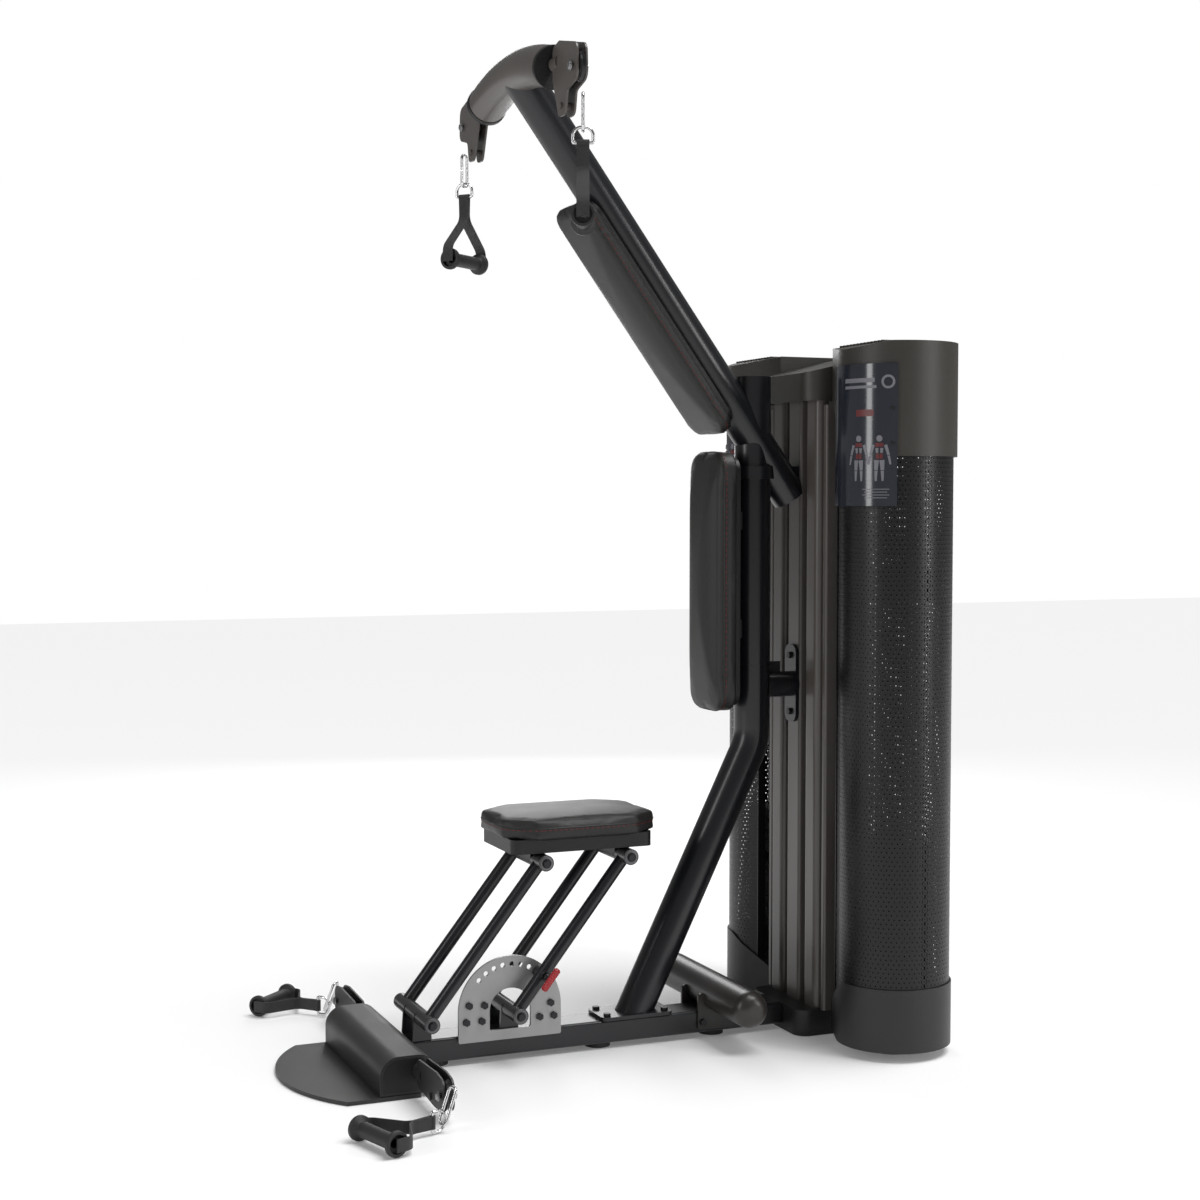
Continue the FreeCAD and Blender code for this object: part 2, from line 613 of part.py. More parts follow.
collar = cut(
    "boom_collar",
    fuse("boom_collar_body",
         rod("collar_ring", "Z", "collar_round", "collar_z", "collar_z + collar_tall"),
         block("collar_bridge", "-24", "24", "0", "column_front", "collar_z",
               "collar_z + collar_tall")),
    rod("collar_bore", "Z", "spine_tube + fit_gap", "collar_z - 1", "collar_z + collar_tall + 1"),
    boom_rod("collar_boom_cut", "boom_tube + fit_gap", "-10", "400"),
)
node(collar, "boom_collar")

# ---- column ---------------------------------------------------------------------------------

# five hollow extrusions: three bars with a gap between them, and a deeper post at each side
def upright(name, centre, wide, front, deep, high, bend):
    return slab(
        name, "XY", "base_tall", f"({high}) - base_tall",
        rectangle(f"{centre} - {wide} / 2", f"{centre} + {wide} / 2", front, f"{front} + {deep}",
                  bend),
        rectangle(f"{centre} - {wide} / 2 + bar_wall", f"{centre} + {wide} / 2 - bar_wall",
                  f"{front} + bar_wall", f"{front} + {deep} - bar_wall", f"{bend} - bar_wall"))


uprights = [upright(f"bar{i + 1}", f"{i} * bar_pitch", "bar_wide", "column_front", "bar_deep",
                    "bar_top", bend)
            for i, bend in ((-1, "bar_bend"), (0, "bar_bend / 2"), (1, "bar_bend"))]
uprights += [upright(f"post_{side}", f"{hand} * post_x", "post_wide", "column_front + 8",
                     "post_deep", "hat_inner_z - 8", "6")
             for side, hand in SIDES]
node(gather("uprights", uprights), "column_bars")


def sloped_shell(name, plan, low, front_y, front_z, rear_z):
    """A cap open underneath: a plan (a function of its inset) raised to a sloping top."""
    rise = f"(({rear_z}) - ({front_z})) / (back_y - ({front_y}))"
    layers = []
    for layer, inset in (("outer", "0"), ("inner", "shell_wall")):
        body = slab(f"{name}_{layer}", "XY", f"({low}) - ({inset})", "260", plan(inset))
        front = f"{front_z} - 100 * {rise} - ({inset})"
        rear = f"{rear_z} + 100 * {rise} - ({inset})"
        above = slab(f"{name}_{layer}_above", "YZ", "-500", "1000",
                     [(f"{front_y} - 100", front), ("back_y + 100", rear),
                      ("back_y + 100", f"{rear_z} + 400"),
                      (f"{front_y} - 100", f"{rear_z} + 400")])
        layers.append(cut(f"{name}_{layer}_slope", body, above))
    return cut(name, *layers)


def hood_plan(inset):
    return [(f"-hood_half + ({inset})", f"hood_front + ({inset})", f"hood_round - ({inset})"),
            (f"hood_half - ({inset})", f"hood_front + ({inset})", f"hood_round - ({inset})"),
            (f"hood_half - ({inset})", f"back_y - ({inset})", f"10 - ({inset})"),
            (f"-hood_half + ({inset})", f"back_y - ({inset})", f"10 - ({inset})")]


node(sloped_shell("hood", hood_plan, "hood_low", "hood_front", "hood_front_z", "hood_rear_z"),
     "column_hood")

# ---- towers ---------------------------------------------------------------------------------

FACE = "((tower_front - tower_corner) / (tower_outer - tower_inner))"


def tower_plan(hand, inset, inner):
    """A tower's outline: a face that comes forward outwards, a round nose and a flat back."""
    shift = f"(({inset}) * sqrt(1 + {FACE}^2))"
    front_inner = f"tower_front - {FACE} * (({inner}) - tower_inner) + {shift}"
    front_outer = f"tower_corner + {FACE} * ({inset}) + {shift}"
    outer = f"{hand} * (tower_outer - ({inset}))"
    nose = f"tower_nose - ({inset})"
    return [(f"{hand} * ({inner})", front_inner), (outer, front_outer, nose),
            (outer, f"back_y - ({inset})", nose), (f"{hand} * ({inner})", f"back_y - ({inset})")]


def tower_shell(name, hand, inset, wall, low, high, inner):
    """A sheet that follows the tower's outline, open towards the column."""
    outer = slab(f"{name}_out", "XY", low, f"({high}) - ({low})", tower_plan(hand, inset, inner))
    room = slab(f"{name}_in", "XY", f"({low}) - 1", f"({high}) - ({low}) + 2",
                tower_plan(hand, f"({inset}) + ({wall})", f"({inner}) - 20"))
    return cut(name, outer, room)


def edge_cut(name, hand, low_inner, low_nose, far):
    """A wedge above or below a line that runs from a tower's inner edge to its nose."""
    return slab(name, "XZ", "-500", "1500",
                [(f"{hand} * (tower_inner - 60)", low_inner),
                 (f"{hand} * tower_inner", low_inner, "60"),
                 (f"{hand} * (tower_outer - tower_nose)", low_nose, "60"),
                 (f"{hand} * (tower_outer + 60)", low_nose),
                 (f"{hand} * (tower_outer + 60)", far), (f"{hand} * (tower_inner - 60)", far)])


boots, covers, hats, placards = [], [], [], []
for side, hand in SIDES:
    boot = tower_shell(f"boot_{side}", hand, "-shell_wall - fit_gap", "shell_wall", "boot_floor",
                       "boot_nose_z + 20", "tower_inner")
    boots.append(cut(f"boot_{side}", boot,
                     edge_cut(f"boot_edge_{side}", hand, "boot_inner_z", "boot_nose_z", "400")))
    covers.append(tower_shell(f"cover_{side}", hand, "0", "cover_wall", "cover_low",
                              "cover_high", "slot_edge"))

    def hat_plan(inset, hand=hand):
        return tower_plan(hand, f"({inset}) - hat_out", f"tower_inner - 14 + ({inset})")

    hat = sloped_shell(f"hat_{side}", hat_plan, "hat_nose_z - 20", "tower_corner",
                       "hat_front_z", "hat_rear_z")
    hats.append(cut(f"hat_{side}", hat,
                    edge_cut(f"hat_edge_{side}", hand, "hat_inner_z", "hat_nose_z", "1000")))
    # a curved plate that follows the hat round the front of the nose
    reach = "tower_nose + hat_out + fit_gap"
    panel = turned(f"placard_{side}", "XZ", "Z_Axis",
                   [(reach, "placard_low"), (f"{reach} + placard_thick", "placard_low"),
                    (f"{reach} + placard_thick", "placard_low + placard_tall"),
                    (reach, "placard_low + placard_tall")], "placard_sweep", centred=True)
    place(panel, f"{hand} * (tower_outer - tower_nose)",
          f"tower_corner + {FACE} * tower_nose + tower_nose * sqrt(1 + {FACE}^2)", "0",
          (0, 0, 1), f"-90 + {hand} * (90 - placard_turn)")
    placards.append(panel)

base_box = slab("base_box", "XY", "0", "base_tall",
                rectangle("-base_half", "base_half", "beam_rear + 2", "back_y - 4", "30"))
node(gather("shrouds", [*boots, base_box]), "base_shrouds")
node(gather("covers", covers), "tower_covers")
node(gather("hats", hats), "top_shrouds")
node(gather("placards", placards), "placards")
rear_sheet = block("rear_sheet", "-slot_edge + 2", "slot_edge - 2", "back_y - cover_wall",
                   "back_y", "boot_nose_z + 8", "hat_nose_z + 65")
# a flat brace inside it, screwed to both tower covers
rear_brace = block("rear_brace", "-brace_half", "brace_half",
                   "back_y - cover_wall - fit_gap - brace_thick", "back_y - cover_wall - fit_gap",
                   "brace_low", "brace_low + brace_tall")
node(gather("rear_sheets", [rear_sheet, rear_brace]), "rear_cover")

# ---- weight stacks --------------------------------------------------------------------------


def weight_pile(name, hand, first, count):
    """Equal cast weights on the guide rods, each bored for the two rods and the stem."""
    body = new_body(name)
    floor = f"stack_floor + ({first}) * weight_pitch"
    sketch = new_sketch(body, "XY", floor)
    centre = f"{hand} * stack_x"
    draw(sketch, rectangle(f"{centre} - weight_wide / 2", f"{centre} + weight_wide / 2",
                           "stack_y - weight_deep / 2", "stack_y + weight_deep / 2", "8"))
    for offset, radius in (("-rod_half", "rod + rod_gap"), ("0", "stem + rod_gap"),
                           ("rod_half", "rod + rod_gap")):
        ring(sketch, f"{centre} + {offset}", "stack_y", radius)
    pad = body.newObject("PartDesign::Pad", f"{name}_pad")
    pad.Profile = sketch
    bind(pad, Length="weight_thick")
    doc.recompute()
    pattern = body.newObject("PartDesign::LinearPattern", f"{name}_pattern")
    pattern.Originals = [pad]
    up = next(o for o in body.Origin.OriginFeatures if o.Role == "Z_Axis")
    pattern.Direction = (up, [""])
    pattern.Mode = "Spacing"
    bind(pattern, Offset="weight_pitch", Occurrences=count)
    body.Tip = pattern
    return body


rods, resting, sheaves = [], [], []
lifted_floor = "stack_floor + resting_count * weight_pitch"
lifted_high = f"{lifted_floor} + lifted_count * weight_pitch"
for side, hand in SIDES:
    centre = f"{hand} * stack_x"
    for i, offset in enumerate(("-rod_half", "rod_half")):
        rods.append(rod(f"rod_{side}{i}", "Z", "rod", "rod_low", "rod_high",
                        x=f"{centre} + {offset}", y="stack_y"))
    rods.append(block(f"rod_foot_{side}", f"{centre} - weight_wide / 2",
                      f"{centre} + weight_wide / 2", "stack_y - weight_deep / 2",
                      "stack_y + weight_deep / 2", "boot_floor", "rod_low"))
    rods.append(block(f"rod_crown_{side}", f"{centre} - weight_wide / 2",
                      f"{centre} + weight_wide / 2", "stack_y - 20", "stack_y + 20",
                      "rod_high", "rod_high + 12"))
    resting.append(weight_pile(f"resting_{side}", hand, "0", "resting_count"))
    lifted = weight_pile(f"lifted_{side}", hand, "resting_count", "lifted_count")
    stem = rod(f"stem_{side}", "Z", "stem", f"{lifted_floor} - 2 * weight_pitch",
               f"{lifted_high} + stem_high", x=centre, y="stack_y")
    yoke = rod(f"yoke_{side}", "Z", "stem + 12", lifted_high, f"{lifted_high} + 12",
               x=centre, y="stack_y")
    slot = rod(f"selector_bore_{side}", "Y", "selector + fit_gap",
               "stack_y - weight_deep / 2 - 1", "stack_y + stem + 6", x=centre,
               z=f"{lifted_floor} + weight_thick / 2")
    key = f"{lifted_floor} + weight_thick / 2"
    head = rod(f"selector_head_{side}", "Y", "selector + 7", "stack_y - weight_deep / 2 - 30",
               "stack_y - weight_deep / 2 - 4", x=centre, z=key)
    shank = rod(f"selector_shank_{side}", "Y", "selector", "stack_y - weight_deep / 2 - 4",
                "stack_y + stem + 4", x=centre, z=key)
    node(gather(f"lifted_{side}", [cut(f"lifted_{side}", lifted, slot),
                                   cut(f"stem_{side}", fuse(f"stem_{side}", stem, yoke), slot)]),
         f"lifted_weights_{side}")
    node(fuse(f"selector_{side}", head, shank), f"selector_pin_{side}")
    cable = rod(f"cable_{side}", "Z", "cable", f"{lifted_high} + stem_high + fit_gap",
                "crown_z - crown_sheave - 1", x=centre, y="stack_y")
    node(gather(f"cable_{side}", [cable]), f"lift_cable_{side}")
    wheel = turned(f"crown_{side}", "YZ", "Y_Axis",
                   [("-crown_half", "crown_bore"), ("-crown_half", "crown_sheave"),
                    ("0", "crown_sheave - 6", "3"), ("crown_half", "crown_sheave"),
                    ("crown_half", "crown_bore")])
    crown_x = f"{hand} * (stack_x - crown_sheave + 4)"
    sheaves.append(place(wheel, crown_x, "stack_y", "crown_z + 2"))
    rods.append(rod(f"crown_axle_{side}", "Y", "crown_bore - running_gap",
                    "stack_y - crown_half", "stack_y + crown_half + 2", x=crown_x,
                    z="crown_z + 2"))
    rods.append(block(f"crown_bracket_{side}", f"{crown_x} - 12", f"{crown_x} + 12",
                      "stack_y + crown_half + 2", "stack_y + crown_half + 7", "crown_z - 16",
                      "rod_high"))
node(gather("rods", rods), "guide_rods")
node(gather("resting", resting), "resting_weights")
node(gather("crown", sheaves), "crown_sheaves")

# ---- back pads ------------------------------------------------------------------------------

low_pad = softened(slab(
    "low_pad", "XZ", "low_pad_front", "low_pad_thick",
    rectangle("-low_pad_wide / 2", "low_pad_wide / 2", "low_pad_low",
              "low_pad_low + low_pad_tall", "pad_corner")), "pad_round")
node(low_pad, "lower_back_pad")
low_board_y = "low_pad_front + low_pad_thick"
low_board = fuse(
    "low_board",
    slab("low_board_plate", "XZ", low_board_y, "board_thick",
         rectangle("-low_pad_wide / 2 + board_inset", "low_pad_wide / 2 - board_inset",
                   "low_pad_low + board_inset", "low_pad_low + low_pad_tall - board_inset",
                   "pad_corner")),
    block("low_board_stay", "-20", "20", low_board_y, "0", "spine_seam + 60", "spine_seam + 100"),
    block("high_board_stay", "-20", "20", low_board_y, "0", "spine_seam + 300",
          "spine_seam + 340"),
)
low_board_node = cut("low_board", low_board,
                     rod("low_board_cope", "Z", "spine_tube + fit_gap", "600", "1400"))

# the upper pad lies along the boom's front face
def on_boom(thing):
    return place(thing, "0", "high_pad_mid_y", "high_pad_mid_z", (1, 0, 0), boom_tilt)


high_pad = softened(slab(
    "high_pad", "XZ", "-high_pad_thick / 2", "high_pad_thick",
    rectangle("-high_pad_wide / 2", "high_pad_wide / 2", "-high_pad_tall / 2",
              "high_pad_tall / 2", "pad_corner")), "pad_round")
node(high_pad, "upper_back_pad", "0", "high_pad_mid_y", "high_pad_mid_z", (1, 0, 0), boom_tilt)
boom_front = boom_rod("board_cope", "boom_tube + fit_gap", "0", boom_run)
high_board_y = "high_pad_thick / 2"
high_board = on_boom(slab(
    "high_board_plate", "XZ", high_board_y, "board_thick",
    rectangle("-high_pad_wide / 2 + board_inset", "high_pad_wide / 2 - board_inset",
              "-high_pad_tall / 2 + board_inset", "high_pad_tall / 2 - board_inset",
              "pad_corner")))
stays = [on_boom(slab(f"boom_stay{i}", "XZ", f"{high_board_y} + board_thick - 2", "50",
                      rectangle("-18", "18", f"{z} - 20", f"{z} + 20", "4")))
         for i, z in enumerate(("-190", "190"))]
high_board_node = cut("high_board", fuse("high_board", high_board, *stays), boom_front)
node(gather("boards", [low_board_node, high_board_node]), "pad_boards")

# ---- pulley swivels -------------------------------------------------------------------------


def cheek(name, y, lobes, bores):
    """A contoured side plate in the plane square to Y, with its bolt and sheave holes."""
    return slab(name, "XZ", y, "cheek_thick", lobes, holes=bores)


def sheave(name, x, y, z):
    wheel = turned(name, "YZ", "Y_Axis",
                   [("-sheave_wide / 2", "sheave_bore"), ("-sheave_wide / 2", "sheave"),
                    ("0", "sheave - sheave_groove", "1"), ("sheave_wide / 2", "sheave"),
                    ("sheave_wide / 2", "sheave_bore")])
    return node(wheel, name, x, y, z)


for side, hand in SIDES:
    # upper swivel: a hub on the head's spindle, two cheeks hanging from it and a guard
    gap = "cheek_gap"
    wheel_z = "head_end_z - sheave + 4"
    lobes = [(f"{hand} * (head_half + 28)", "head_end_z + 30", "14"),
             (f"{hand} * (head_half + 64)", "head_end_z + 38", "14"),
             (f"{hand} * (high_sheave_out + 22)", "head_end_z + 16", "20"),
             (f"{hand} * (high_sheave_out + 26)", "head_end_z - 52", "20"),
             (f"{hand} * (high_sheave_out - 30)", "head_end_z - 66", "12"),
             (f"{hand} * (high_sheave_out - 40)", "head_end_z - 112", "16"),
             (f"{hand} * (high_sheave_out - 76)", "head_end_z - 112", "16"),
             (f"{hand} * (head_half + 28)", "head_end_z - 34", "14")]
    bores = [(f"{hand} * high_sheave_out", wheel_z, "sheave_pin"),
             (f"{hand} * (high_sheave_out - 59)", "head_end_z - 92", "swivel_pin")]
    shapes = [cheek(f"high_cheek_{side}0", f"head_y - {gap} - cheek_thick", lobes, bores),
              cheek(f"high_cheek_{side}1", f"head_y + {gap}", lobes, bores)]
    ends = sorted((f"{hand} * (head_half + hub_start)",
                   f"{hand} * (head_half + hub_start + hub_long)"), key=now)
    hub = rod(f"high_hub_{side}", "X", "swivel_hub", *ends, y="head_y", z="head_end_z")
    hub_bore = rod(f"high_hub_bore_{side}", "X", "spindle + running_gap",
                   *sorted((f"{hand} * head_half",
                            f"{hand} * (head_half + hub_start + hub_long + 1)"), key=now),
                   y="head_y", z="head_end_z")
    axle = rod(f"high_axle_{side}", "Y", "sheave_pin", f"head_y - {gap} - cheek_thick - 5",
               f"head_y + {gap} + cheek_thick + 5", x=f"{hand} * high_sheave_out", z=wheel_z)
    spacer = rod(f"high_spacer_{side}", "Y", "2 * swivel_pin",
                 f"head_y - {gap} - cheek_thick - 4", f"head_y + {gap} + cheek_thick + 4",
                 x=f"{hand} * (high_sheave_out - 59)", z="head_end_z - 92")
    high_whole = fuse(f"high_swivel_{side}", hub, *shapes, axle, spacer)
    node(cut(f"high_swivel_{side}", high_whole, hub_bore), f"upper_swivel_{side}")
    sheave(f"upper_sheave_{side}", f"{hand} * high_sheave_out", "head_y", wheel_z)

    # lower swivel: the same on the drum's spindle, lying flat
    out = "(drum_wide / 2)"
    low_z = "axle_z"
    low_lobes = [(f"{hand} * ({out} + 18)", f"{low_z} + 28", "12"),
                 (f"{hand} * (low_sheave_out - 30)", f"{low_z} + 34", "14"),
                 (f"{hand} * (low_sheave_out + 18)", f"{low_z} + 28", "20"),
                 (f"{hand} * (low_sheave_out + 18)", f"{low_z} - 34", "20"),
                 (f"{hand} * (low_sheave_out - 40)", f"{low_z} - 36", "14"),
                 (f"{hand} * ({out} + 18)", f"{low_z} - 26", "12")]
    low_bores = [(f"{hand} * low_sheave_out", f"{low_z} - 4", "sheave_pin"),
                 (f"{hand} * (low_sheave_out - 62)", f"{low_z} - 22", "swivel_pin")]
    shapes = [cheek(f"low_cheek_{side}0", f"axle_y - {gap} - cheek_thick", low_lobes, low_bores),
              cheek(f"low_cheek_{side}1", f"axle_y + {gap}", low_lobes, low_bores)]
    ends = sorted((f"{hand} * ({out} + 3)", f"{hand} * ({out} + spindle_out)"), key=now)
    hub = rod(f"low_hub_{side}", "X", "swivel_hub", *ends, y="axle_y", z=low_z)
    hub_bore = rod(f"low_hub_bore_{side}", "X", "spindle + running_gap",
                   "-drum_wide / 2 - spindle_out - 1", "drum_wide / 2 + spindle_out + 1",
                   y="axle_y", z=low_z)
    axle = rod(f"low_axle_{side}", "Y", "sheave_pin", f"axle_y - {gap} - cheek_thick - 5",
               f"axle_y + {gap} + cheek_thick + 5", x=f"{hand} * low_sheave_out",
               z=f"{low_z} - 4")
    spacer = rod(f"low_spacer_{side}", "Y", "2 * swivel_pin",
                 f"axle_y - {gap} - cheek_thick - 4", f"axle_y + {gap} + cheek_thick + 4",
                 x=f"{hand} * (low_sheave_out - 62)", z=f"{low_z} - 22")
    low_whole = fuse(f"low_swivel_{side}", hub, *shapes, axle, spacer)
    node(cut(f"low_swivel_{side}", low_whole, hub_bore), f"lower_swivel_{side}")
    sheave(f"lower_sheave_{side}", f"{hand} * low_sheave_out", "axle_y", f"{low_z} - 4")

# ---- handles --------------------------------------------------------------------------------


def hook(name):
    """A snap hook's closed wire loop, hanging from the origin."""
    half, bend = "hook_wide / 2 - wire", "hook_wide / 2 - wire - 1"
    return pipe(name, "XZ",
                [(half, "-hook_long / 2"), (half, "-wire", bend), (f"-({half})", "-wire", bend),
                 (f"-({half})", "-hook_long + wire", bend), (half, "-hook_long + wire", bend),
                 (half, "-hook_long / 2 - 1")],
                "XY", "-hook_long / 2", (half, "0"), "wire")


def strap_ring(name):
    """The D-shaped ring that joins the hook to the webbing, its top at the origin."""
    half = "ring_wide / 2 - wire"
    return pipe(name, "YZ",
                [("0", "-ring_tall + wire"), (half, "-ring_tall + wire", "3.5"),
                 (half, "-wire", "ring_wide / 2 - wire - 3"),
                 (f"-({half})", "-wire", "ring_wide / 2 - wire - 3"),
                 (f"-({half})", "-ring_tall + wire", "3.5"), ("-1", "-ring_tall + wire")],
                "XZ", "0", ("0", "-ring_tall + wire"), "wire")


def webbing(name, length):
    """Webbing from the ring down to both ends of the grip, and the core through the grip."""
    reach = "grip_half + web_thick + 1"
    outer = [("-web_thick - 1", "0"), ("web_thick + 1", "0"), ("web_thick + 1", "-split"),
             (f"{reach} + web_thick", f"-{length} + 26", "12"),
             (f"{reach} + web_thick", f"-{length} - web_rod"),
             (reach, f"-{length} - web_rod"), (reach, f"-{length} + 27", "9"),
             ("0", "-split - 8"),
             (f"-({reach})", f"-{length} + 27", "9"), (f"-({reach})", f"-{length} - web_rod"),
             (f"-({reach}) - web_thick", f"-{length} - web_rod"),
             (f"-({reach}) - web_thick", f"-{length} + 26", "12"), ("-web_thick - 1", "-split")]
    strap = slab(name, "XZ", "-web_wide / 2", "web_wide", outer)
    core = rod(f"{name}_core", "X", "web_rod", f"-({reach}) - 1", f"{reach} + 1", z=f"-{length}")
    return fuse(name, strap, core)


def grip_tube(name):
    """A moulded grip with a flange and a hollow mouth at each end, about its own axis."""
    return turned(name, "XZ", "X_Axis",
                  [("-grip_half", "grip_mouth"), ("-grip_half", "grip_flange", "2"),
                   ("-grip_half + flange_long", "grip_flange", "3"),
                   ("-grip_half + flange_long + 7", "grip", "4"),
                   ("grip_half - flange_long - 7", "grip", "4"),
                   ("grip_half - flange_long", "grip_flange", "3"),
                   ("grip_half", "grip_flange", "2"), ("grip_half", "grip_mouth"),
                   ("grip_half - mouth_deep", "grip_mouth"), ("grip_half - mouth_deep", "grip_bore"),
                   ("-grip_half + mouth_deep", "grip_bore"),
                   ("-grip_half + mouth_deep", "grip_mouth")])


def handle(label, x, y, z, yaw, lean, lie, slack, web_length):
    """A hook, ring, webbing and grip that hang from x, y, z, or lie along the floor."""
    grab = "hook_long - 4 * wire - 0.5"
    ring_y = f"-sin({lean}) * ({grab}) + ({slack})"
    ring_z = f"-cos({lean}) * ({grab})"

    def along(distance):
        """A point that far down the pull direction from the ring's top."""
        return (f"{ring_y} - sin({lie}) * ({distance})", f"{ring_z} - cos({lie}) * ({distance})")

    def posed(thing, distance, roll):
        dy, dz = along(distance)
        return place(thing, "0", dy, dz, (1, 0, 0), f"-({roll})")

    steel = [place(hook(f"hook_{label}"), axis=(1, 0, 0), angle=f"-({lean})"),
             posed(strap_ring(f"ring_{label}"), "0", lie)]
    spot = {"x": x, "y": y, "z": z, "axis": (0, 0, 1), "angle": yaw}
    node(gather(f"steel_{label}", steel), f"carabiner_{label}", **spot)
    strap = posed(webbing(f"web_{label}", web_length), "ring_tall + fit_gap", lie)
    node(gather(f"strap_{label}", [strap]), f"strap_{label}", **spot)
    grip = posed(grip_tube(f"tube_{label}"), f"ring_tall + fit_gap + {web_length}", lie)
    node(gather(f"grip_{label}", [grip]), f"grip_{label}", **spot)


for side, hand in SIDES:
    handle(f"upper_{side}", f"{hand} * (high_sheave_out + sheave - sheave_groove)",
           "head_y", "high_hook_z", f"high_yaw_{side}", "0", "0", "0", "web_long")
    handle(f"lower_{side}", f"{hand} * (low_sheave_out + sheave + 17)", "axle_y", "low_hook_z",
           f"low_yaw_{side}", "low_lean", "90", "7", "low_web_long")

# ---- feet and bolts -------------------------------------------------------------------------

feet = [rod(f"beam_foot{i}", "Z", "beam_foot", "0", "foot_height", y=y)
        for i, y in enumerate(("-spine_y", "cross_y", "front_pivot_y + 40"))]
for side, hand in SIDES:
    feet.append(rod(f"tower_foot_{side}", "Z", "tower_foot", "0", "boot_floor",
                    x=f"{hand} * tower_foot_x", y="tower_foot_y"))
node(gather("feet", feet), "floor_feet")


def bolt(name, x, y, z, along):
    """A hexagon head whose underside is at x, y, z."""
    head = doc.addObject("Part::Prism", name)
    head.Polygon = 6
    bind(head, Circumradius="bolt_head", Height="bolt_tall")
    axis, angle = {"Z": (None, "0"), "X": ((0, 1, 0), "90"), "-X": ((0, 1, 0), "-90"),
                   "-Y": ((1, 0, 0), "90")}[along]
    return place(head, x, y, z, axis, angle)


bolts = []
for i, (y, z) in enumerate(INDEX_BOLTS):
    bolts.append(bolt(f"index_bolt{i}", "index_x + index_thick", f"rear_pivot_y + ({y})",
                      f"pivot_z + ({z})", "X"))
for side, hand in SIDES:
    for i, y in enumerate(("flange_front + 16", "flange_rear - 16")):
        bolts.append(bolt(f"flange_bolt_{side}{i}", f"{hand} * (flange_wide / 2 - 16)", y,
                          flange_high, "Z"))
    for i, y in enumerate(("cross_y - 40", "cross_y + 40")):
        bolts.append(bolt(f"saddle_bolt_{side}{i}", f"{hand} * (beam_wide / 2 + saddle_thick)",
                          y, "foot_height + beam_tall / 2", "X" if hand > 0 else "-X"))
    bolts.append(bolt(f"collar_bolt_{side}", f"{hand} * 15", "72", "collar_z + collar_tall", "Z"))
for i, z in enumerate(("strut_plate_low + 23", "strut_plate_high - 24")):
    bolts.append(bolt(f"strut_bolt{i}", "0", strut_plate_y, z, "-Y"))
node(gather("bolts", bolts), "frame_bolts")

# ---- check and write ------------------------------------------------------------------------

doc.recompute()
failed = [o.Label for o in doc.Objects if {"Invalid", "Error"} & set(o.State)]
if failed:
    raise SystemExit("failed objects: " + ", ".join(failed))
for label, thing in nodes.items():
    if thing.Shape.isNull() or not thing.Shape.isValid() or not thing.Shape.Solids:
        raise SystemExit(f"{label} has no valid solid")
os.makedirs("parts", exist_ok=True)
for label, thing in nodes.items():
    thing.Shape.exportStep(f"parts/{label}.step")
    print(f"{label}: {len(thing.Shape.Solids)} solids, {thing.Shape.Volume / 1000:.1f} cm3")
print(len(nodes), "nodes")
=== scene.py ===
import math

import bpy
from mathutils import Matrix, Vector
from mathutils.bvhtree import BVHTree


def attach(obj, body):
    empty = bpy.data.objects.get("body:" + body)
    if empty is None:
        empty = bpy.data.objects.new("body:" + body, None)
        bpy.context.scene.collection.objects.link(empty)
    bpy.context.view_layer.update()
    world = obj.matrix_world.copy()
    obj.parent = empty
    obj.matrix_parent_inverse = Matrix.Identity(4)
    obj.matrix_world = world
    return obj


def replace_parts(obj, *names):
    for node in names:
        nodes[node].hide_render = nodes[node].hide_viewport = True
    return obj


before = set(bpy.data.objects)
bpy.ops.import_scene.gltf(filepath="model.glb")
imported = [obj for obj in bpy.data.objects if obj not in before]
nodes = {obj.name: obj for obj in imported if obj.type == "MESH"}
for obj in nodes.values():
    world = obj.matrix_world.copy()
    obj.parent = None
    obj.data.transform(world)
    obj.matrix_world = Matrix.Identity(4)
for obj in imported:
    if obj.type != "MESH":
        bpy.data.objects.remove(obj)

scene = bpy.context.scene
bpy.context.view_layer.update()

# ---- camera -------------------------------------------------------------------------------------
# It stands beside the seat at chest height and looks across the machine towards the far tower.
camera = bpy.data.objects.new("camera", bpy.data.cameras.new("camera"))
scene.collection.objects.link(camera)
camera.location = (3.889, -1.594, 1.18)
camera.rotation_euler = (math.radians(87.18), 0, math.radians(67.63))
camera.data.lens = 58.4
scene.camera = camera

# ---- floor and light ----------------------------------------------------------------------------
# A plain pale floor under the machine, soft boxes to its left, right and back, and a broad even
# light from overhead.
floor_mesh = bpy.data.meshes.new("floor")
floor_mesh.from_pydata([(-16, -16, -0.001), (16, -16, -0.001), (16, 16, -0.001), (-16, 16, -0.001)],
                       [], [(0, 1, 2, 3)])
floor = bpy.data.objects.new("floor", floor_mesh)
scene.collection.objects.link(floor)
floor_paint = bpy.data.materials.new("pale floor")
floor_paint.use_nodes = True
floor_tree = floor_paint.node_tree
floor_noise = floor_tree.nodes.new("ShaderNodeTexNoise")
floor_noise.inputs["Scale"].default_value = 1.5
floor_ramp = floor_tree.nodes.new("ShaderNodeValToRGB")
floor_ramp.color_ramp.elements[0].color = (0.80, 0.80, 0.80, 1)
floor_ramp.color_ramp.elements[1].color = (0.84, 0.84, 0.84, 1)
floor_shader = floor_tree.nodes["Principled BSDF"]
floor_shader.inputs["Roughness"].default_value = 0.9
floor_shader.inputs["Emission Color"].default_value = (1, 1, 1, 1)
floor_shader.inputs["Emission Strength"].default_value = 0.12
floor_tree.links.new(floor_noise.outputs["Fac"], floor_ramp.inputs["Fac"])
floor_tree.links.new(floor_ramp.outputs["Color"], floor_shader.inputs["Base Color"])
floor_mesh.materials.append(floor_paint)

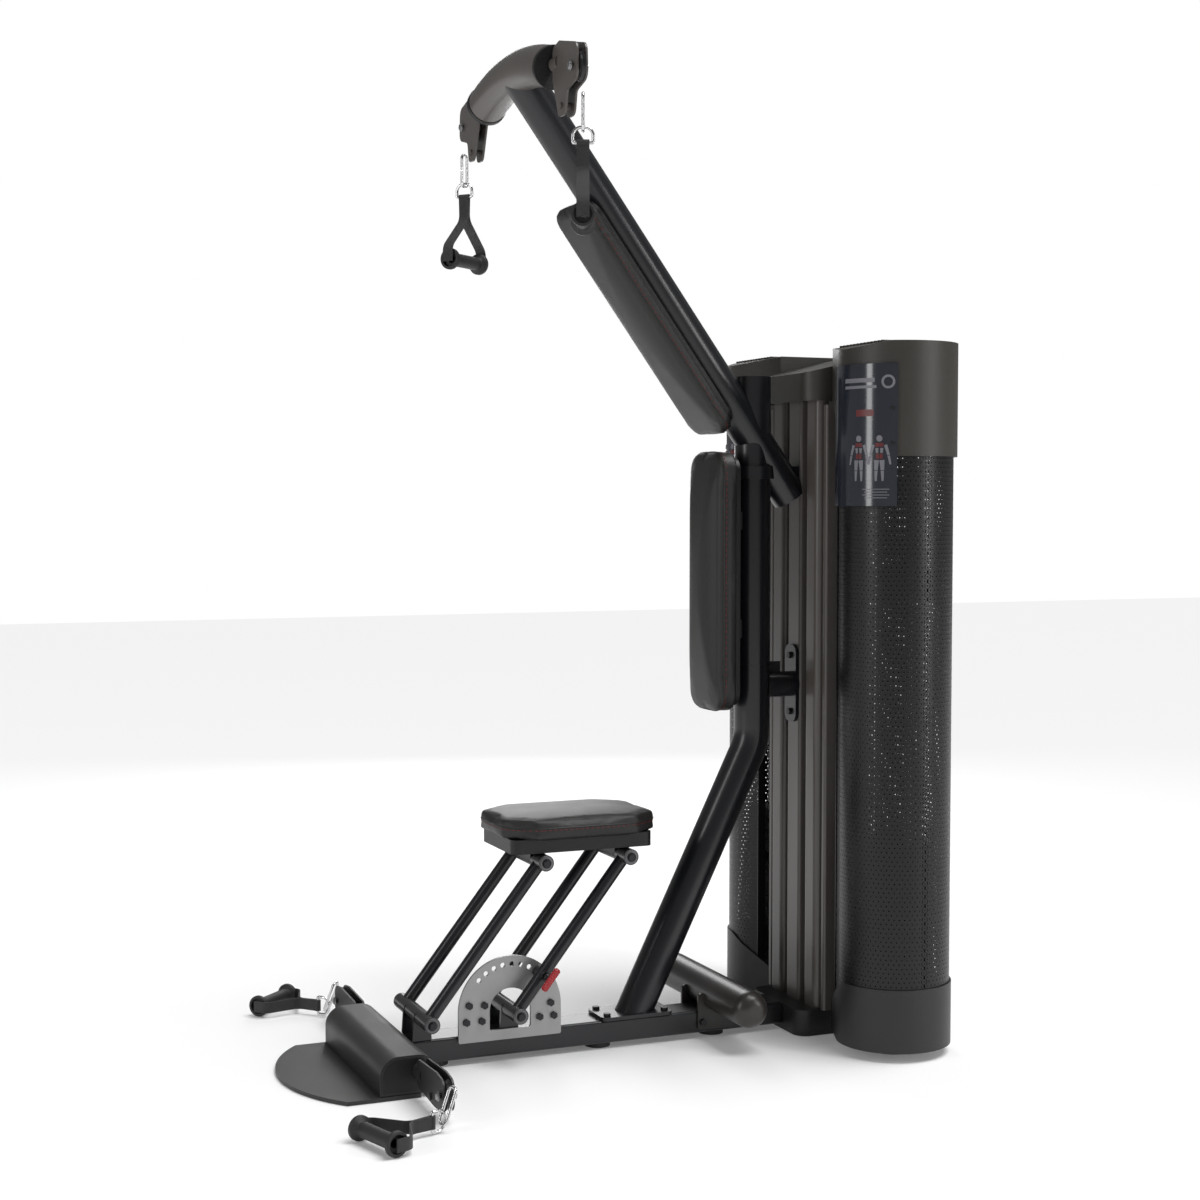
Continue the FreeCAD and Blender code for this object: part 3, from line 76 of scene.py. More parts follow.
world = bpy.data.worlds.new("studio")
scene.world = world
world.use_nodes = True
world.node_tree.nodes["Background"].inputs["Color"].default_value = (1.0, 1.0, 1.0, 1)
seen = world.node_tree.nodes.new("ShaderNodeLightPath")
glow = world.node_tree.nodes.new("ShaderNodeMath")
glow.operation = "MULTIPLY_ADD"
glow.inputs[1].default_value, glow.inputs[2].default_value = 0.80, 0.20
world.node_tree.links.new(seen.outputs["Is Camera Ray"], glow.inputs[0])
world.node_tree.links.new(glow.outputs[0],
                          world.node_tree.nodes["Background"].inputs["Strength"])
scene.view_settings.view_transform = "Standard"


def soft_box(name, place, aim, wide, tall, watts):
    lamp = bpy.data.lights.new(name, "AREA")
    lamp.shape, lamp.size, lamp.size_y, lamp.energy = "RECTANGLE", wide, tall, watts
    box = bpy.data.objects.new(name, lamp)
    scene.collection.objects.link(box)
    box.location = place
    box.rotation_euler = (Vector(aim) - Vector(place)).to_track_quat("-Z", "Y").to_euler()


soft_box("left_box", (1.0, -4.6, 2.2), (0, 0, 1.0), 1.0, 2.8, 46)
soft_box("right_box", (3.6, 3.0, 1.8), (0, 0.3, 0.9), 0.6, 2.8, 46)
soft_box("back_box", (-4.0, 1.2, 2.4), (0, 0, 1.0), 1.2, 2.6, 40)
overhead = bpy.data.lights.new("overhead", "SUN")
overhead.energy, overhead.angle = 2.6, math.radians(40)
hung = bpy.data.objects.new("overhead", overhead)
scene.collection.objects.link(hung)
hung.rotation_euler = (math.radians(-18), math.radians(12), 0)

# ---- welded steel frame -------------------------------------------------------------------------
# Beam, bent spine, boom, struts and seat links are round and square steel tube, welded, then
# sprayed with satin black enamel that is a little uneven and holds dust on its upper faces.


def surface_group():
    """Shading shared by all finishes: broad mottling, fine grain and dust that settles on top."""
    tree = bpy.data.node_groups.new("surface", "ShaderNodeTree")
    face = tree.interface
    face.new_socket(name="Colour", in_out="INPUT", socket_type="NodeSocketColor")
    for name in ("Roughness", "Mottle", "Mottle Scale", "Grain Scale", "Dust"):
        face.new_socket(name=name, in_out="INPUT", socket_type="NodeSocketFloat")
    face.new_socket(name="Colour", in_out="OUTPUT", socket_type="NodeSocketColor")
    for name in ("Roughness", "Height"):
        face.new_socket(name=name, in_out="OUTPUT", socket_type="NodeSocketFloat")
    add, wire = tree.nodes.new, tree.links.new
    given, result = add("NodeGroupInput"), add("NodeGroupOutput")
    spot = add("ShaderNodeTexCoord")

    def noise(scale_name, detail):
        texture = add("ShaderNodeTexNoise")
        texture.inputs["Detail"].default_value = detail
        wire(spot.outputs["Object"], texture.inputs["Vector"])
        wire(given.outputs[scale_name], texture.inputs["Scale"])
        return texture.outputs["Fac"]

    def maths(kind, one, two):
        step = add("ShaderNodeMath")
        step.operation = kind
        for socket, amount in zip(step.inputs, (one, two)):
            if isinstance(amount, (int, float)):
                socket.default_value = amount
            else:
                wire(amount, socket)
        return step.outputs[0]

    cloud, grain = noise("Mottle Scale", 4), noise("Grain Scale", 2)
    swing = maths("MULTIPLY", maths("SUBTRACT", cloud, 0.5), given.outputs["Mottle"])
    shade = add("ShaderNodeHueSaturation")
    wire(maths("ADD", swing, 1.0), shade.inputs["Value"])
    wire(given.outputs["Colour"], shade.inputs["Color"])
    slope = add("ShaderNodeSeparateXYZ")
    wire(add("ShaderNodeNewGeometry").outputs["Normal"], slope.inputs[0])
    upward = add("ShaderNodeMapRange")
    upward.inputs["From Min"].default_value = 0.55
    wire(slope.outputs["Z"], upward.inputs["Value"])
    settled = maths("MULTIPLY", maths("MULTIPLY", upward.outputs[0], cloud),
                    given.outputs["Dust"])
    dusted = add("ShaderNodeMix")
    dusted.data_type = "RGBA"
    wire(settled, dusted.inputs["Factor"])
    colour_in = [s for s in dusted.inputs if s.type == "RGBA"]
    colour_in[1].default_value = (0.30, 0.29, 0.28, 1)
    wire(shade.outputs["Color"], colour_in[0])
    wire([s for s in dusted.outputs if s.type == "RGBA"][0], result.inputs["Colour"])
    rough = maths("ADD", given.outputs["Roughness"], maths("MULTIPLY", swing, 0.35))
    wire(maths("ADD", rough, maths("MULTIPLY", settled, 0.6)), result.inputs["Roughness"])
    wire(grain, result.inputs["Height"])
    return tree


surface = surface_group()


def finish(name, colour, roughness, metallic=0.0, mottle=0.35, cloud=9.0, grain=420.0,
           depth=0.15, dust=0.05, coat=0.0, specular=0.5, sheen=0.0):
    """A material whose colour, roughness and grain come from the shared surface group."""
    material = bpy.data.materials.new(name)
    material.use_nodes = True
    tree = material.node_tree
    shader = tree.nodes["Principled BSDF"]
    shader.inputs["Metallic"].default_value = metallic
    shader.inputs["Coat Weight"].default_value = coat
    shader.inputs["Coat Roughness"].default_value = 0.12
    shader.inputs["Specular IOR Level"].default_value = specular
    shader.inputs["Sheen Weight"].default_value = sheen
    effect = tree.nodes.new("ShaderNodeGroup")
    effect.node_tree = surface
    for key, amount in (("Colour", (*colour, 1)), ("Roughness", roughness), ("Mottle", mottle),
                        ("Mottle Scale", cloud), ("Grain Scale", grain), ("Dust", dust)):
        effect.inputs[key].default_value = amount
    bump = tree.nodes.new("ShaderNodeBump")
    bump.inputs["Strength"].default_value = depth
    bump.inputs["Distance"].default_value = 0.001
    tree.links.new(effect.outputs["Height"], bump.inputs["Height"])
    tree.links.new(effect.outputs["Colour"], shader.inputs["Base Color"])
    tree.links.new(effect.outputs["Roughness"], shader.inputs["Roughness"])
    tree.links.new(bump.outputs["Normal"], shader.inputs["Normal"])
    return material


def dress(material, *names):
    """Gives the finish to CAD nodes as they stand."""
    for name in names:
        for slot in nodes[name].material_slots:
            slot.material = material


black_enamel = finish("satin black enamel", (0.006, 0.0065, 0.009), 0.30, mottle=0.3, cloud=6,
                      grain=260, depth=0.10, dust=0.05, coat=0.15)
dress(black_enamel, "base_beam", "spine_lower", "spine_upper", "spine_strut", "boom_tube",
      "boom_collar", "front_links", "rear_links", "link_brackets", "pulley_crossbar")

# ---- screws and bolts ---------------------------------------------------------------------------
# Blackened hexagon heads on washers hold the plates and pivots, and bright ones the guards.


def growth_tree(name, sizes, coating, counts=()):
    """A tree that takes marked points, named sizes and a material, and gives geometry."""
    tree = bpy.data.node_groups.new(name, "GeometryNodeTree")
    wanted = [("Geometry", "Geometry")] + [(label, "Float") for label in sizes]
    wanted += [(label, "Int") for label in counts] + [(coating, "Material")]
    for label, kind in wanted:
        tree.interface.new_socket(name=label, in_out="INPUT", socket_type=f"NodeSocket{kind}")
    tree.interface.new_socket(name="Geometry", in_out="OUTPUT",
                              socket_type="NodeSocketGeometry")
    return tree, tree.nodes.new("NodeGroupInput")


def planted(tree, given, shape, coating, rolled=False):
    """Sets the shape on every point, its z along the point's axis, as real mesh in one finish.

    When rolled, its x also turns towards the point's up mark.
    """
    add, wire = tree.nodes.new, tree.links.new

    def aimed(label):
        mark = add("GeometryNodeInputNamedAttribute")
        mark.data_type = "FLOAT_VECTOR"
        mark.inputs["Name"].default_value = label
        turn = add("FunctionNodeAlignRotationToVector")
        wire(mark.outputs["Attribute"], turn.inputs["Vector"])
        return turn

    turn = aimed("axis")
    turn.axis = "Z"
    if rolled:
        roll = aimed("up")
        roll.axis, roll.pivot_axis = "X", "Z"
        wire(turn.outputs[0], roll.inputs["Rotation"])
        turn = roll
    put = add("GeometryNodeInstanceOnPoints")
    wire(given.outputs["Geometry"], put.inputs["Points"])
    wire(shape, put.inputs["Instance"])
    wire(turn.outputs[0], put.inputs["Rotation"])
    real, coat = add("GeometryNodeRealizeInstances"), add("GeometryNodeSetMaterial")
    wire(put.outputs[0], real.inputs[0])
    wire(real.outputs[0], coat.inputs["Geometry"])
    wire(given.outputs[coating], coat.inputs["Material"])
    wire(coat.outputs[0], add("NodeGroupOutput").inputs[0])


def bolt_tree():
    """Geometry nodes: on each point a hexagon head on a washer, turned to the point's axis."""
    tree, given = growth_tree("bolt", ("Head", "Height", "Washer"), "Metal", ("Sides",))
    add, wire = tree.nodes.new, tree.links.new

    def maths(kind, one, two):
        step = add("ShaderNodeMath")
        step.operation = kind
        wire(one, step.inputs[0])
        step.inputs[1].default_value = two
        return step.outputs[0]

    def layer(sides, bottom, top, depth, lift):
        cone = add("GeometryNodeMeshCone")
        if isinstance(sides, int):
            cone.inputs["Vertices"].default_value = sides
        else:
            wire(sides, cone.inputs["Vertices"])
        wire(bottom, cone.inputs["Radius Bottom"])
        wire(top, cone.inputs["Radius Top"])
        wire(depth, cone.inputs["Depth"])
        shift, move = add("ShaderNodeCombineXYZ"), add("GeometryNodeTransform")
        wire(lift, shift.inputs["Z"])
        wire(cone.outputs["Mesh"], move.inputs["Geometry"])
        wire(shift.outputs[0], move.inputs["Translation"])
        return move.outputs[0]

    head, tall = given.outputs["Head"], given.outputs["Height"]
    join = add("GeometryNodeJoinGeometry")
    rim = maths("MULTIPLY", given.outputs["Washer"], 0.96)
    foot = maths("MULTIPLY", tall, 0.0)
    wire(layer(20, given.outputs["Washer"], rim, maths("MULTIPLY", tall, 0.22), foot),
         join.inputs[0])
    wire(layer(given.outputs["Sides"], head, head, maths("MULTIPLY", tall, 0.8), foot),
         join.inputs[0])
    wire(layer(given.outputs["Sides"], head, maths("MULTIPLY", head, 0.78),
               maths("MULTIPLY", tall, 0.2), maths("MULTIPLY", tall, 0.8)), join.inputs[0])
    planted(tree, given, join.outputs[0], "Metal")
    return tree


bolts = bolt_tree()


def grown(name, tree, points, axes, body, slot, ups=None, **given):
    """Runs a tree on marked points, keeps the result as a plain mesh and sets it on its body."""
    mesh = bpy.data.meshes.new(name + "_marks")
    mesh.from_pydata(points, [], [])
    for label, vectors in (("axis", axes), ("up", ups)):
        if vectors:
            mark = mesh.attributes.new(label, "FLOAT_VECTOR", "POINT")
            mark.data.foreach_set("vector", [c for v in vectors for c in v])
    marks = bpy.data.objects.new(name + "_marks", mesh)
    scene.collection.objects.link(marks)
    growth = marks.modifiers.new("growth", "NODES")
    growth.node_group = tree
    for item in tree.interface.items_tree:
        if item.in_out == "INPUT" and item.name.lower() in given:
            growth[item.identifier] = given[item.name.lower()]
    held = marks.evaluated_get(bpy.context.evaluated_depsgraph_get())
    result = bpy.data.meshes.new_from_object(held)
    result.name = name
    bpy.data.objects.remove(marks)
    piece = bpy.data.objects.new(name, result)
    scene.collection.objects.link(piece)
    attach(piece, body)
    return piece


bolt_steel = finish("blackened steel", (0.035, 0.035, 0.038), 0.38, metallic=0.8, depth=0.05,
                    dust=0.02)
bright_steel = finish("zinc plate", (0.38, 0.38, 0.39), 0.32, metallic=1.0, mottle=0.25,
                      depth=0.04, dust=0.0)
collar_steel = finish("dull steel", (0.14, 0.14, 0.145), 0.42, metallic=0.9, depth=0.05,
                      dust=0.0)
dress(bolt_steel, "frame_bolts")

# each link's shafts end in a dull steel collar with a dark bolt in it
for body, foot_y, top_y in (("front_link", -0.411, -0.1605), ("rear_link", -0.218, 0.0325)):
    ends, out = [], []
    for y, z in ((foot_y, 0.111), (top_y, 0.4293)):
        for hand in (-1, 1):
            ends.append((hand * 0.112, y, z))
            out.append((hand, 0, 0))
    grown(body + "_collars", bolts, ends, out, body, "plate_grey", head=0.0135, height=0.002,
          washer=0.0155, sides=24, metal=collar_steel)
    grown(body + "_bolts", bolts, [(x + 0.0018 * (1 if x > 0 else -1), y, z)
                                   for x, y, z in ends], out,
          body, "bolt_black", head=0.0085, height=0.006, washer=0.0105, sides=6, metal=bolt_steel)

# ---- foot plate and drum ------------------------------------------------------------------------
# The plate is 8 mm steel with a bowed front edge. The drum is folded sheet whose open ends are
# closed by dark moulded panels.
foot_enamel = finish("dark grey enamel", (0.017, 0.016, 0.016), 0.46, mottle=0.3, cloud=14,
                     grain=700, depth=0.35, dust=0.10)
dress(foot_enamel, "foot_plate", "foot_drum")
panel_black = finish("black moulding", (0.006, 0.006, 0.0065), 0.42, grain=900, depth=0.3,
                     specular=0.4)


def closed_mesh(name, rings, body, material, smooth=True, caps=True):
    """A closed skin over equal rings of points, capped at both ends."""
    count = len(rings[0])
    faces = [(r * count + i, r * count + (i + 1) % count, (r + 1) * count + (i + 1) % count,
              (r + 1) * count + i) for r in range(len(rings) - 1) for i in range(count)]
    if caps:
        faces += [tuple(reversed(range(count))),
                  tuple((len(rings) - 1) * count + i for i in range(count))]
    mesh = bpy.data.meshes.new(name)
    mesh.from_pydata([tuple(p) for ring in rings for p in ring], [], faces)
    mesh.update()
    middle = sum((v.co for v in mesh.vertices), Vector()) / len(mesh.vertices)
    inward = sum((f.center - middle).dot(f.normal) * f.area for f in mesh.polygons) < 0
    if inward:
        mesh.flip_normals()
    mesh.materials.append(material)
    piece = bpy.data.objects.new(name, mesh)
    scene.collection.objects.link(piece)
    if smooth:
        mesh.shade_smooth()
        mesh.set_sharp_from_angle(angle=math.radians(38))
    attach(piece, body)
    return piece


def arc(y, z, radius, start, stop, steps):
    return [(y + radius * math.cos(math.radians(start + (stop - start) * i / steps)),
             z + radius * math.sin(math.radians(start + (stop - start) * i / steps)))
            for i in range(steps + 1)]


for side, hand in (("near", 1), ("far", -1)):
    for part, inset, out, paint in (("rim", 0.003, 0.0015, bright_steel),
                                    ("panel", 0.006, 0.0025, panel_black)):
        low, back, front = 0.008 + inset, -0.434 - inset, -0.552 + inset
        outline = [(front, low), (back, low)]
        outline += arc(-0.474, 0.046, 0.040 - inset, 0, 90, 8)
        outline += arc(-0.512, 0.046, 0.040 - inset, 90, 180, 8)
        rings = [[(hand * (0.215 + d), y, z) for y, z in outline] for d in (0.0002, out)]
        closed_mesh(f"drum_{part}_{side}", rings, "frame", foot_enamel if part == "rim" else paint, smooth=False)

# ---- index plate and pull pin -------------------------------------------------------------------
# Laser-cut plate with a light finish; the pin has a steel shaft in a black barrel and a moulded
# red handle across its end, ribbed for the fingers.
dress(finish("light plate", (0.34, 0.34, 0.34), 0.38, metallic=0.55, mottle=0.2, cloud=20,
             grain=300, depth=0.08, dust=0.0), "index_plate")
red_moulding = finish("red moulding", (0.33, 0.012, 0.018), 0.34, mottle=0.15, grain=600,
                      depth=0.1, dust=0.02)
lean = math.radians(38.2)
pin_y, pin_z = -0.218 + 0.097 * math.sin(lean), 0.111 + 0.097 * math.cos(lean)
along_arm = Vector((0, math.sin(lean), math.cos(lean)))


def turned_piece(name, centre, axis, side, stations, body, material, steps=28):
    """A lathe-turned piece: (distance along the axis, radius) stations about a centre."""
    axis, side = Vector(axis).normalized(), Vector(side).normalized()
    third = axis.cross(side)
    rings = [[Vector(centre) + axis * d + (side * math.cos(a) + third * math.sin(a)) * r
              for a in (2 * math.pi * i / steps for i in range(steps))] for d, r in stations]
    return closed_mesh(name, rings, body, material)


shaft = turned_piece("pull_pin_shaft", (0, pin_y, pin_z), (1, 0, 0), (0, 1, 0),
                     [(0.0475, 0.0038), (0.0490, 0.0049), (0.062, 0.0049), (0.0622, 0.0049)],
                     "pin", bright_steel)
barrel = turned_piece("pull_pin_barrel", (0, pin_y, pin_z), (1, 0, 0), (0, 1, 0),
                      [(0.0945, 0.0060), (0.095, 0.0078), (0.112, 0.0078), (0.114, 0.0060),
                       (0.127, 0.0052)], "pin", bolt_steel)
grip_stations = [(-0.0275, 0.001), (-0.0268, 0.0042), (-0.025, 0.0062)]
for i in range(9):
    d = -0.0225 + i * 0.005625
    grip_stations += [(d - 0.0014, 0.0072), (d, 0.0080), (d + 0.0014, 0.0072)]
grip_stations += [(0.025, 0.0062), (0.0268, 0.0042), (0.0275, 0.001)]
pull_handle = turned_piece("pull_pin_handle", (0.130, pin_y, pin_z), along_arm, (1, 0, 0),
                           grip_stations, "pin", red_moulding)
for piece in (shaft, barrel, pull_handle):
    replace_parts(piece, "pull_pin")

# ---- seat pan -----------------------------------------------------------------------------------
# A black moulded tray screwed to the seat's two pivot blocks.
dress(panel_black, "seat_pan", "pad_boards", "head_caps")

# ---- padded seat and back pads ------------------------------------------------------------------
# Foam on a board under black vinyl. Each cover is cut in a face and a border, joined in a welt
# with a row of red stitches beside it; the foam crowns the face and the border pulls in.
vinyl = finish("black vinyl", (0.011, 0.010, 0.0095), 0.46, mottle=0.35, cloud=12, grain=520,
               depth=0.5, dust=0.03, specular=0.45)
red_thread = finish("red thread", (0.16, 0.008, 0.010), 0.6, mottle=0.2, grain=900, depth=0.1,
                    dust=0.0)


def rounded(corners, radius, pitch):
    """Evenly spaced points round a polygon with rounded corners."""
    path = []
    count = len(corners)
    for i in range(count):
        here = Vector(corners[i])
        back, ahead = Vector(corners[i - 1]) - here, Vector(corners[(i + 1) % count]) - here
        half = back.angle(ahead) / 2
        run = radius / math.tan(half)
        start, stop = here + back.normalized() * run, here + ahead.normalized() * run
        centre = here + (back.normalized() + ahead.normalized()).normalized() * (
            radius / math.sin(half))
        for k in range(9):
            spoke = (start - centre).lerp(stop - centre, k / 8)
            path.append(centre + spoke.normalized() * radius)
    dense = []
    for i, point in enumerate(path):
        ahead = path[(i + 1) % len(path)]
        steps = max(1, round((ahead - point).length / pitch))
        dense += [point.lerp(ahead, k / steps) for k in range(steps)]
    return dense


def stuffed(name, corners, radius, deep, base, lie, body, replaced, crown, soft, seam):
    """A pad over a board: outline in its own plane, depth along its own z, then laid by lie."""
    outline = rounded(corners, radius, 0.006)
    span_u = max(p.x for p in outline)
    span_v = max(p.y for p in outline)
    low_v = min(p.y for p in outline)
    middle = Vector((0, (span_v + low_v) / 2))
    # (share of the depth, distance in from the outline)
    levels = [(0.0, 0.006), (0.0, 0.001), (0.10, 0.0), (0.35, 0.0012), (seam - 0.04, 0.0008),
              (seam, 0.0), (seam + 0.05, 0.0004), (0.93, soft * 0.30), (0.985, soft * 0.72),
              (1.0, soft * 1.2)]
    rings = []
    for share, inset in levels:
        ring = []
        for i, point in enumerate(outline):
            ahead, behind = outline[(i + 1) % len(outline)], outline[i - 1]
            normal = Vector((ahead.y - behind.y, behind.x - ahead.x)).normalized()
            ease = 0.0016 * math.sin(math.pi * share) * (
                1 - (abs(point.x) / span_u) ** 6 * (abs(point.y - middle.y)
                                                    / (span_v - middle.y)) ** 6)
            ring.append((point - normal * (inset + ease)).to_3d() + Vector((0, 0, share * deep)))
        rings.append(ring)
    steps = 9
    rim = rings[-1]
    for k in range(1, steps):
        share = k / steps
        ring = []
        for point in rim:
            flat = point.xy.lerp(middle, share * 0.985)
            rise = crown * (1 - (1 - share) ** 2.4)
            ring.append(Vector((flat.x, flat.y, point.z + rise)))
        rings.append(ring)
    count = len(outline)
    verts = [p for ring in rings for p in ring] + [Vector((0, middle.y, deep + crown)),
                                                   Vector((0, middle.y, 0))]
    faces = [(r * count + i, r * count + (i + 1) % count, (r + 1) * count + (i + 1) % count,
              (r + 1) * count + i) for r in range(len(rings) - 1) for i in range(count)]
    last = (len(rings) - 1) * count
    faces += [(last + i, last + (i + 1) % count, len(verts) - 2) for i in range(count)]
    faces += [((i + 1) % count, i, len(verts) - 1) for i in range(count)]
    mesh = bpy.data.meshes.new(name)
    mesh.from_pydata([tuple(lie @ (v + Vector((0, 0, base)))) for v in verts], [], faces)
    mesh.update()
    heart = sum((v.co for v in mesh.vertices), Vector()) / len(mesh.vertices)
    if sum((f.center - heart).dot(f.normal) * f.area for f in mesh.polygons) < 0:
        mesh.flip_normals()
    pad = bpy.data.objects.new(name, mesh)
    scene.collection.objects.link(pad)
    mesh.materials.append(vinyl)
    even = pad.modifiers.new("even", "REMESH")
    even.mode, even.voxel_size = "VOXEL", 0.0045
    ease_out = pad.modifiers.new("ease", "SMOOTH")
    ease_out.factor, ease_out.iterations = 0.5, 5
    settle(pad)
    inflate(pad)
    pad.data.shade_smooth()
    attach(pad, body)
    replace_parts(pad, replaced)
    skin = BVHTree.FromObject(pad, bpy.context.evaluated_depsgraph_get())

    def on_skin(point):
        """The point on the cover level with a point of the outline."""
        outer = lie @ point.to_3d().lerp(Vector((0, middle.y, point.z)), -0.25)
        inner = lie @ Vector((0, middle.y, point.z))
        hit = skin.ray_cast(outer, (inner - outer).normalized())
        return hit[0] or outer, hit[1] or (outer - inner).normalized()

    # the welt: a thin rolled edge round the seam, with the stitches just behind it
    for part, share, thick in (("welt", seam, 0.0016), ("stitches", seam - 0.10, 0.0007)):
        track = [on_skin(Vector((p.x, p.y, base + share * deep))) for p in outline]
        points = [p for p, _ in track]
        if part == "welt":
            rings = []
            for i, (point, normal) in enumerate(track):
                ahead = (points[(i + 1) % len(points)] - points[i - 1]).normalized()
                third = ahead.cross(normal).normalized()
                rings.append([point + (normal * math.cos(a) + third * math.sin(a)) * thick
                              for a in (2 * math.pi * k / 8 for k in range(8))])
            rings.append(rings[0])
            closed_mesh(f"{name}_welt", rings, body, vinyl, caps=False)
            continue
        marks, ways = [], []
        gone = 0.0
        for i, point in enumerate(points):
            step = (points[(i + 1) % len(points)] - point)
            gone += step.length
            if gone > 0.0085:
                gone = 0.0
                marks.append(tuple(point + track[i][1] * 0.0003))
                ways.append(tuple(step.normalized()))
        grown(f"{name}_stitches", stitches, marks, ways, body, "pin_red", length=0.0058,
              thread=thick, cotton=red_thread)


def settle(pad):
    """Applies a pad's modifiers to its mesh."""
    shaped = bpy.data.meshes.new_from_object(
        pad.evaluated_get(bpy.context.evaluated_depsgraph_get()))
    pad.modifiers.clear()
    shaped.materials.clear()
    shaped.materials.append(vinyl)
    pad.data = shaped


def inflate(pad):
    """Lets the foam push the cover out for a few frames, and no more than 3 mm."""
    rest = [v.co.copy() for v in pad.data.vertices]
    cloth = pad.modifiers.new("cloth", "CLOTH")
    cloth.settings.use_pressure = True
    cloth.settings.uniform_pressure_force = 3.0
    cloth.settings.effector_weights.gravity = 0
    cloth.settings.quality = 5
    cloth.settings.tension_stiffness = 40
    cloth.settings.compression_stiffness = 40
    cloth.settings.bending_stiffness = 2
    for frame_number in range(1, 13):
        scene.frame_set(frame_number)
    settle(pad)
    for vertex, was in zip(pad.data.vertices, rest):
        move = vertex.co - was
        if move.length > 0.003:
            vertex.co = was + move.normalized() * 0.003
    scene.frame_set(1)


def stitch_tree():
    """Geometry nodes: on each point one short round stitch lying along the point's axis."""
    tree, given = growth_tree("stitch", ("Length", "Thread"), "Cotton")
    thread = tree.nodes.new("GeometryNodeMeshCylinder")
    thread.inputs["Vertices"].default_value = 6
    tree.links.new(given.outputs["Length"], thread.inputs["Depth"])
    tree.links.new(given.outputs["Thread"], thread.inputs["Radius"])
    planted(tree, given, thread.outputs["Mesh"], "Cotton")
    return tree


stitches = stitch_tree()

seat_corners = [(-0.075, -0.247), (0.075, -0.247), (0.125, -0.185), (0.125, 0.044),
                (0.075, 0.106), (-0.075, 0.106), (-0.125, 0.044), (-0.125, -0.185)]
stuffed("seat_pad", seat_corners, 0.030, 0.040, 0.4795, Matrix.Identity(4), "seat",
        "seat_cushion", 0.009, 0.010, 0.62)
stand = Matrix(((1, 0, 0, 0), (0, 0, -1, 0), (0, 1, 0, 0), (0, 0, 0, 1)))
low_corners = [(-0.084, 0.724), (0.084, 0.724), (0.084, 1.295), (-0.084, 1.295)]
stuffed("lower_pad", low_corners, 0.044, 0.041, -0.2985, stand, "frame", "lower_back_pad",
        0.022, 0.014, 0.80)
tilt = math.radians(36.1)
boom_lie = Matrix.Translation((0, 0.105, 1.572)) @ Matrix.Rotation(tilt, 4, "X") @ stand
high_corners = [(-0.087, -0.295), (0.087, -0.295), (0.087, 0.295), (-0.087, 0.295)]
stuffed("upper_pad", high_corners, 0.040, 0.029, -0.021, boom_lie, "frame", "upper_back_pad",
        0.015, 0.012, 0.66)

# ---- boom head, cross tube and column -----------------------------------------------------------
# Bent and straight tube and moulded shrouds in a warm grey, satin and finely grained.
warm_enamel = finish("warm grey enamel", (0.085, 0.076, 0.070), 0.34, mottle=0.25, cloud=6,
                     grain=260, depth=0.10, dust=0.04, coat=0.1)
warm_moulding = finish("warm grey moulding", (0.038, 0.035, 0.030), 0.40, mottle=0.2, cloud=7,
                       grain=900, depth=0.3, dust=0.06, specular=0.45)
boot_moulding = finish("dark moulding", (0.012, 0.012, 0.012), 0.42, mottle=0.25, cloud=7,
                       grain=900, depth=0.3, dust=0.08)
dress(warm_enamel, "head_tube", "column_bars")
dress(finish("dark warm enamel", (0.022, 0.019, 0.017), 0.36, mottle=0.25, cloud=6, grain=260,
             depth=0.10, dust=0.04, coat=0.1), "cross_tube")
dress(warm_moulding, "column_hood", "top_shrouds")
dress(boot_moulding, "base_shrouds")

# ---- tower covers -------------------------------------------------------------------------------
# Perforated black sheet rolled round each tower from the slot beside the column to the back,
# with plain folded edges, and a flat perforated sheet between them behind the column.


def sheet_tree():
    """Geometry nodes: on each point one six-sided cell of sheet with a round hole in it."""
    tree, given = growth_tree("perforated", ("Pitch", "Hole"), "Steel")
    add, wire = tree.nodes.new, tree.links.new
    cell = add("GeometryNodeMeshCone")
    cell.fill_type = "NONE"
    cell.inputs["Vertices"].default_value = 6
    cell.inputs["Depth"].default_value = 0.0001
    reach = add("ShaderNodeMath")
    reach.operation = "MULTIPLY"
    reach.inputs[1].default_value = 0.5774
    wire(given.outputs["Pitch"], reach.inputs[0])
    wire(reach.outputs[0], cell.inputs["Radius Bottom"])
    wire(given.outputs["Hole"], cell.inputs["Radius Top"])
    planted(tree, given, cell.outputs["Mesh"], "Steel", rolled=True)
    return tree


perforated = sheet_tree()
sheet_black = finish("black sheet", (0.005, 0.005, 0.0052), 0.36, mottle=0.2, cloud=5, grain=300,
                     depth=0.05, dust=0.02, specular=0.4)
pitch, hole = 0.011, 0.0016
row_step = pitch * 0.866
face_slope = math.atan(0.4257)
cover_low, cover_high = 0.066, 1.412


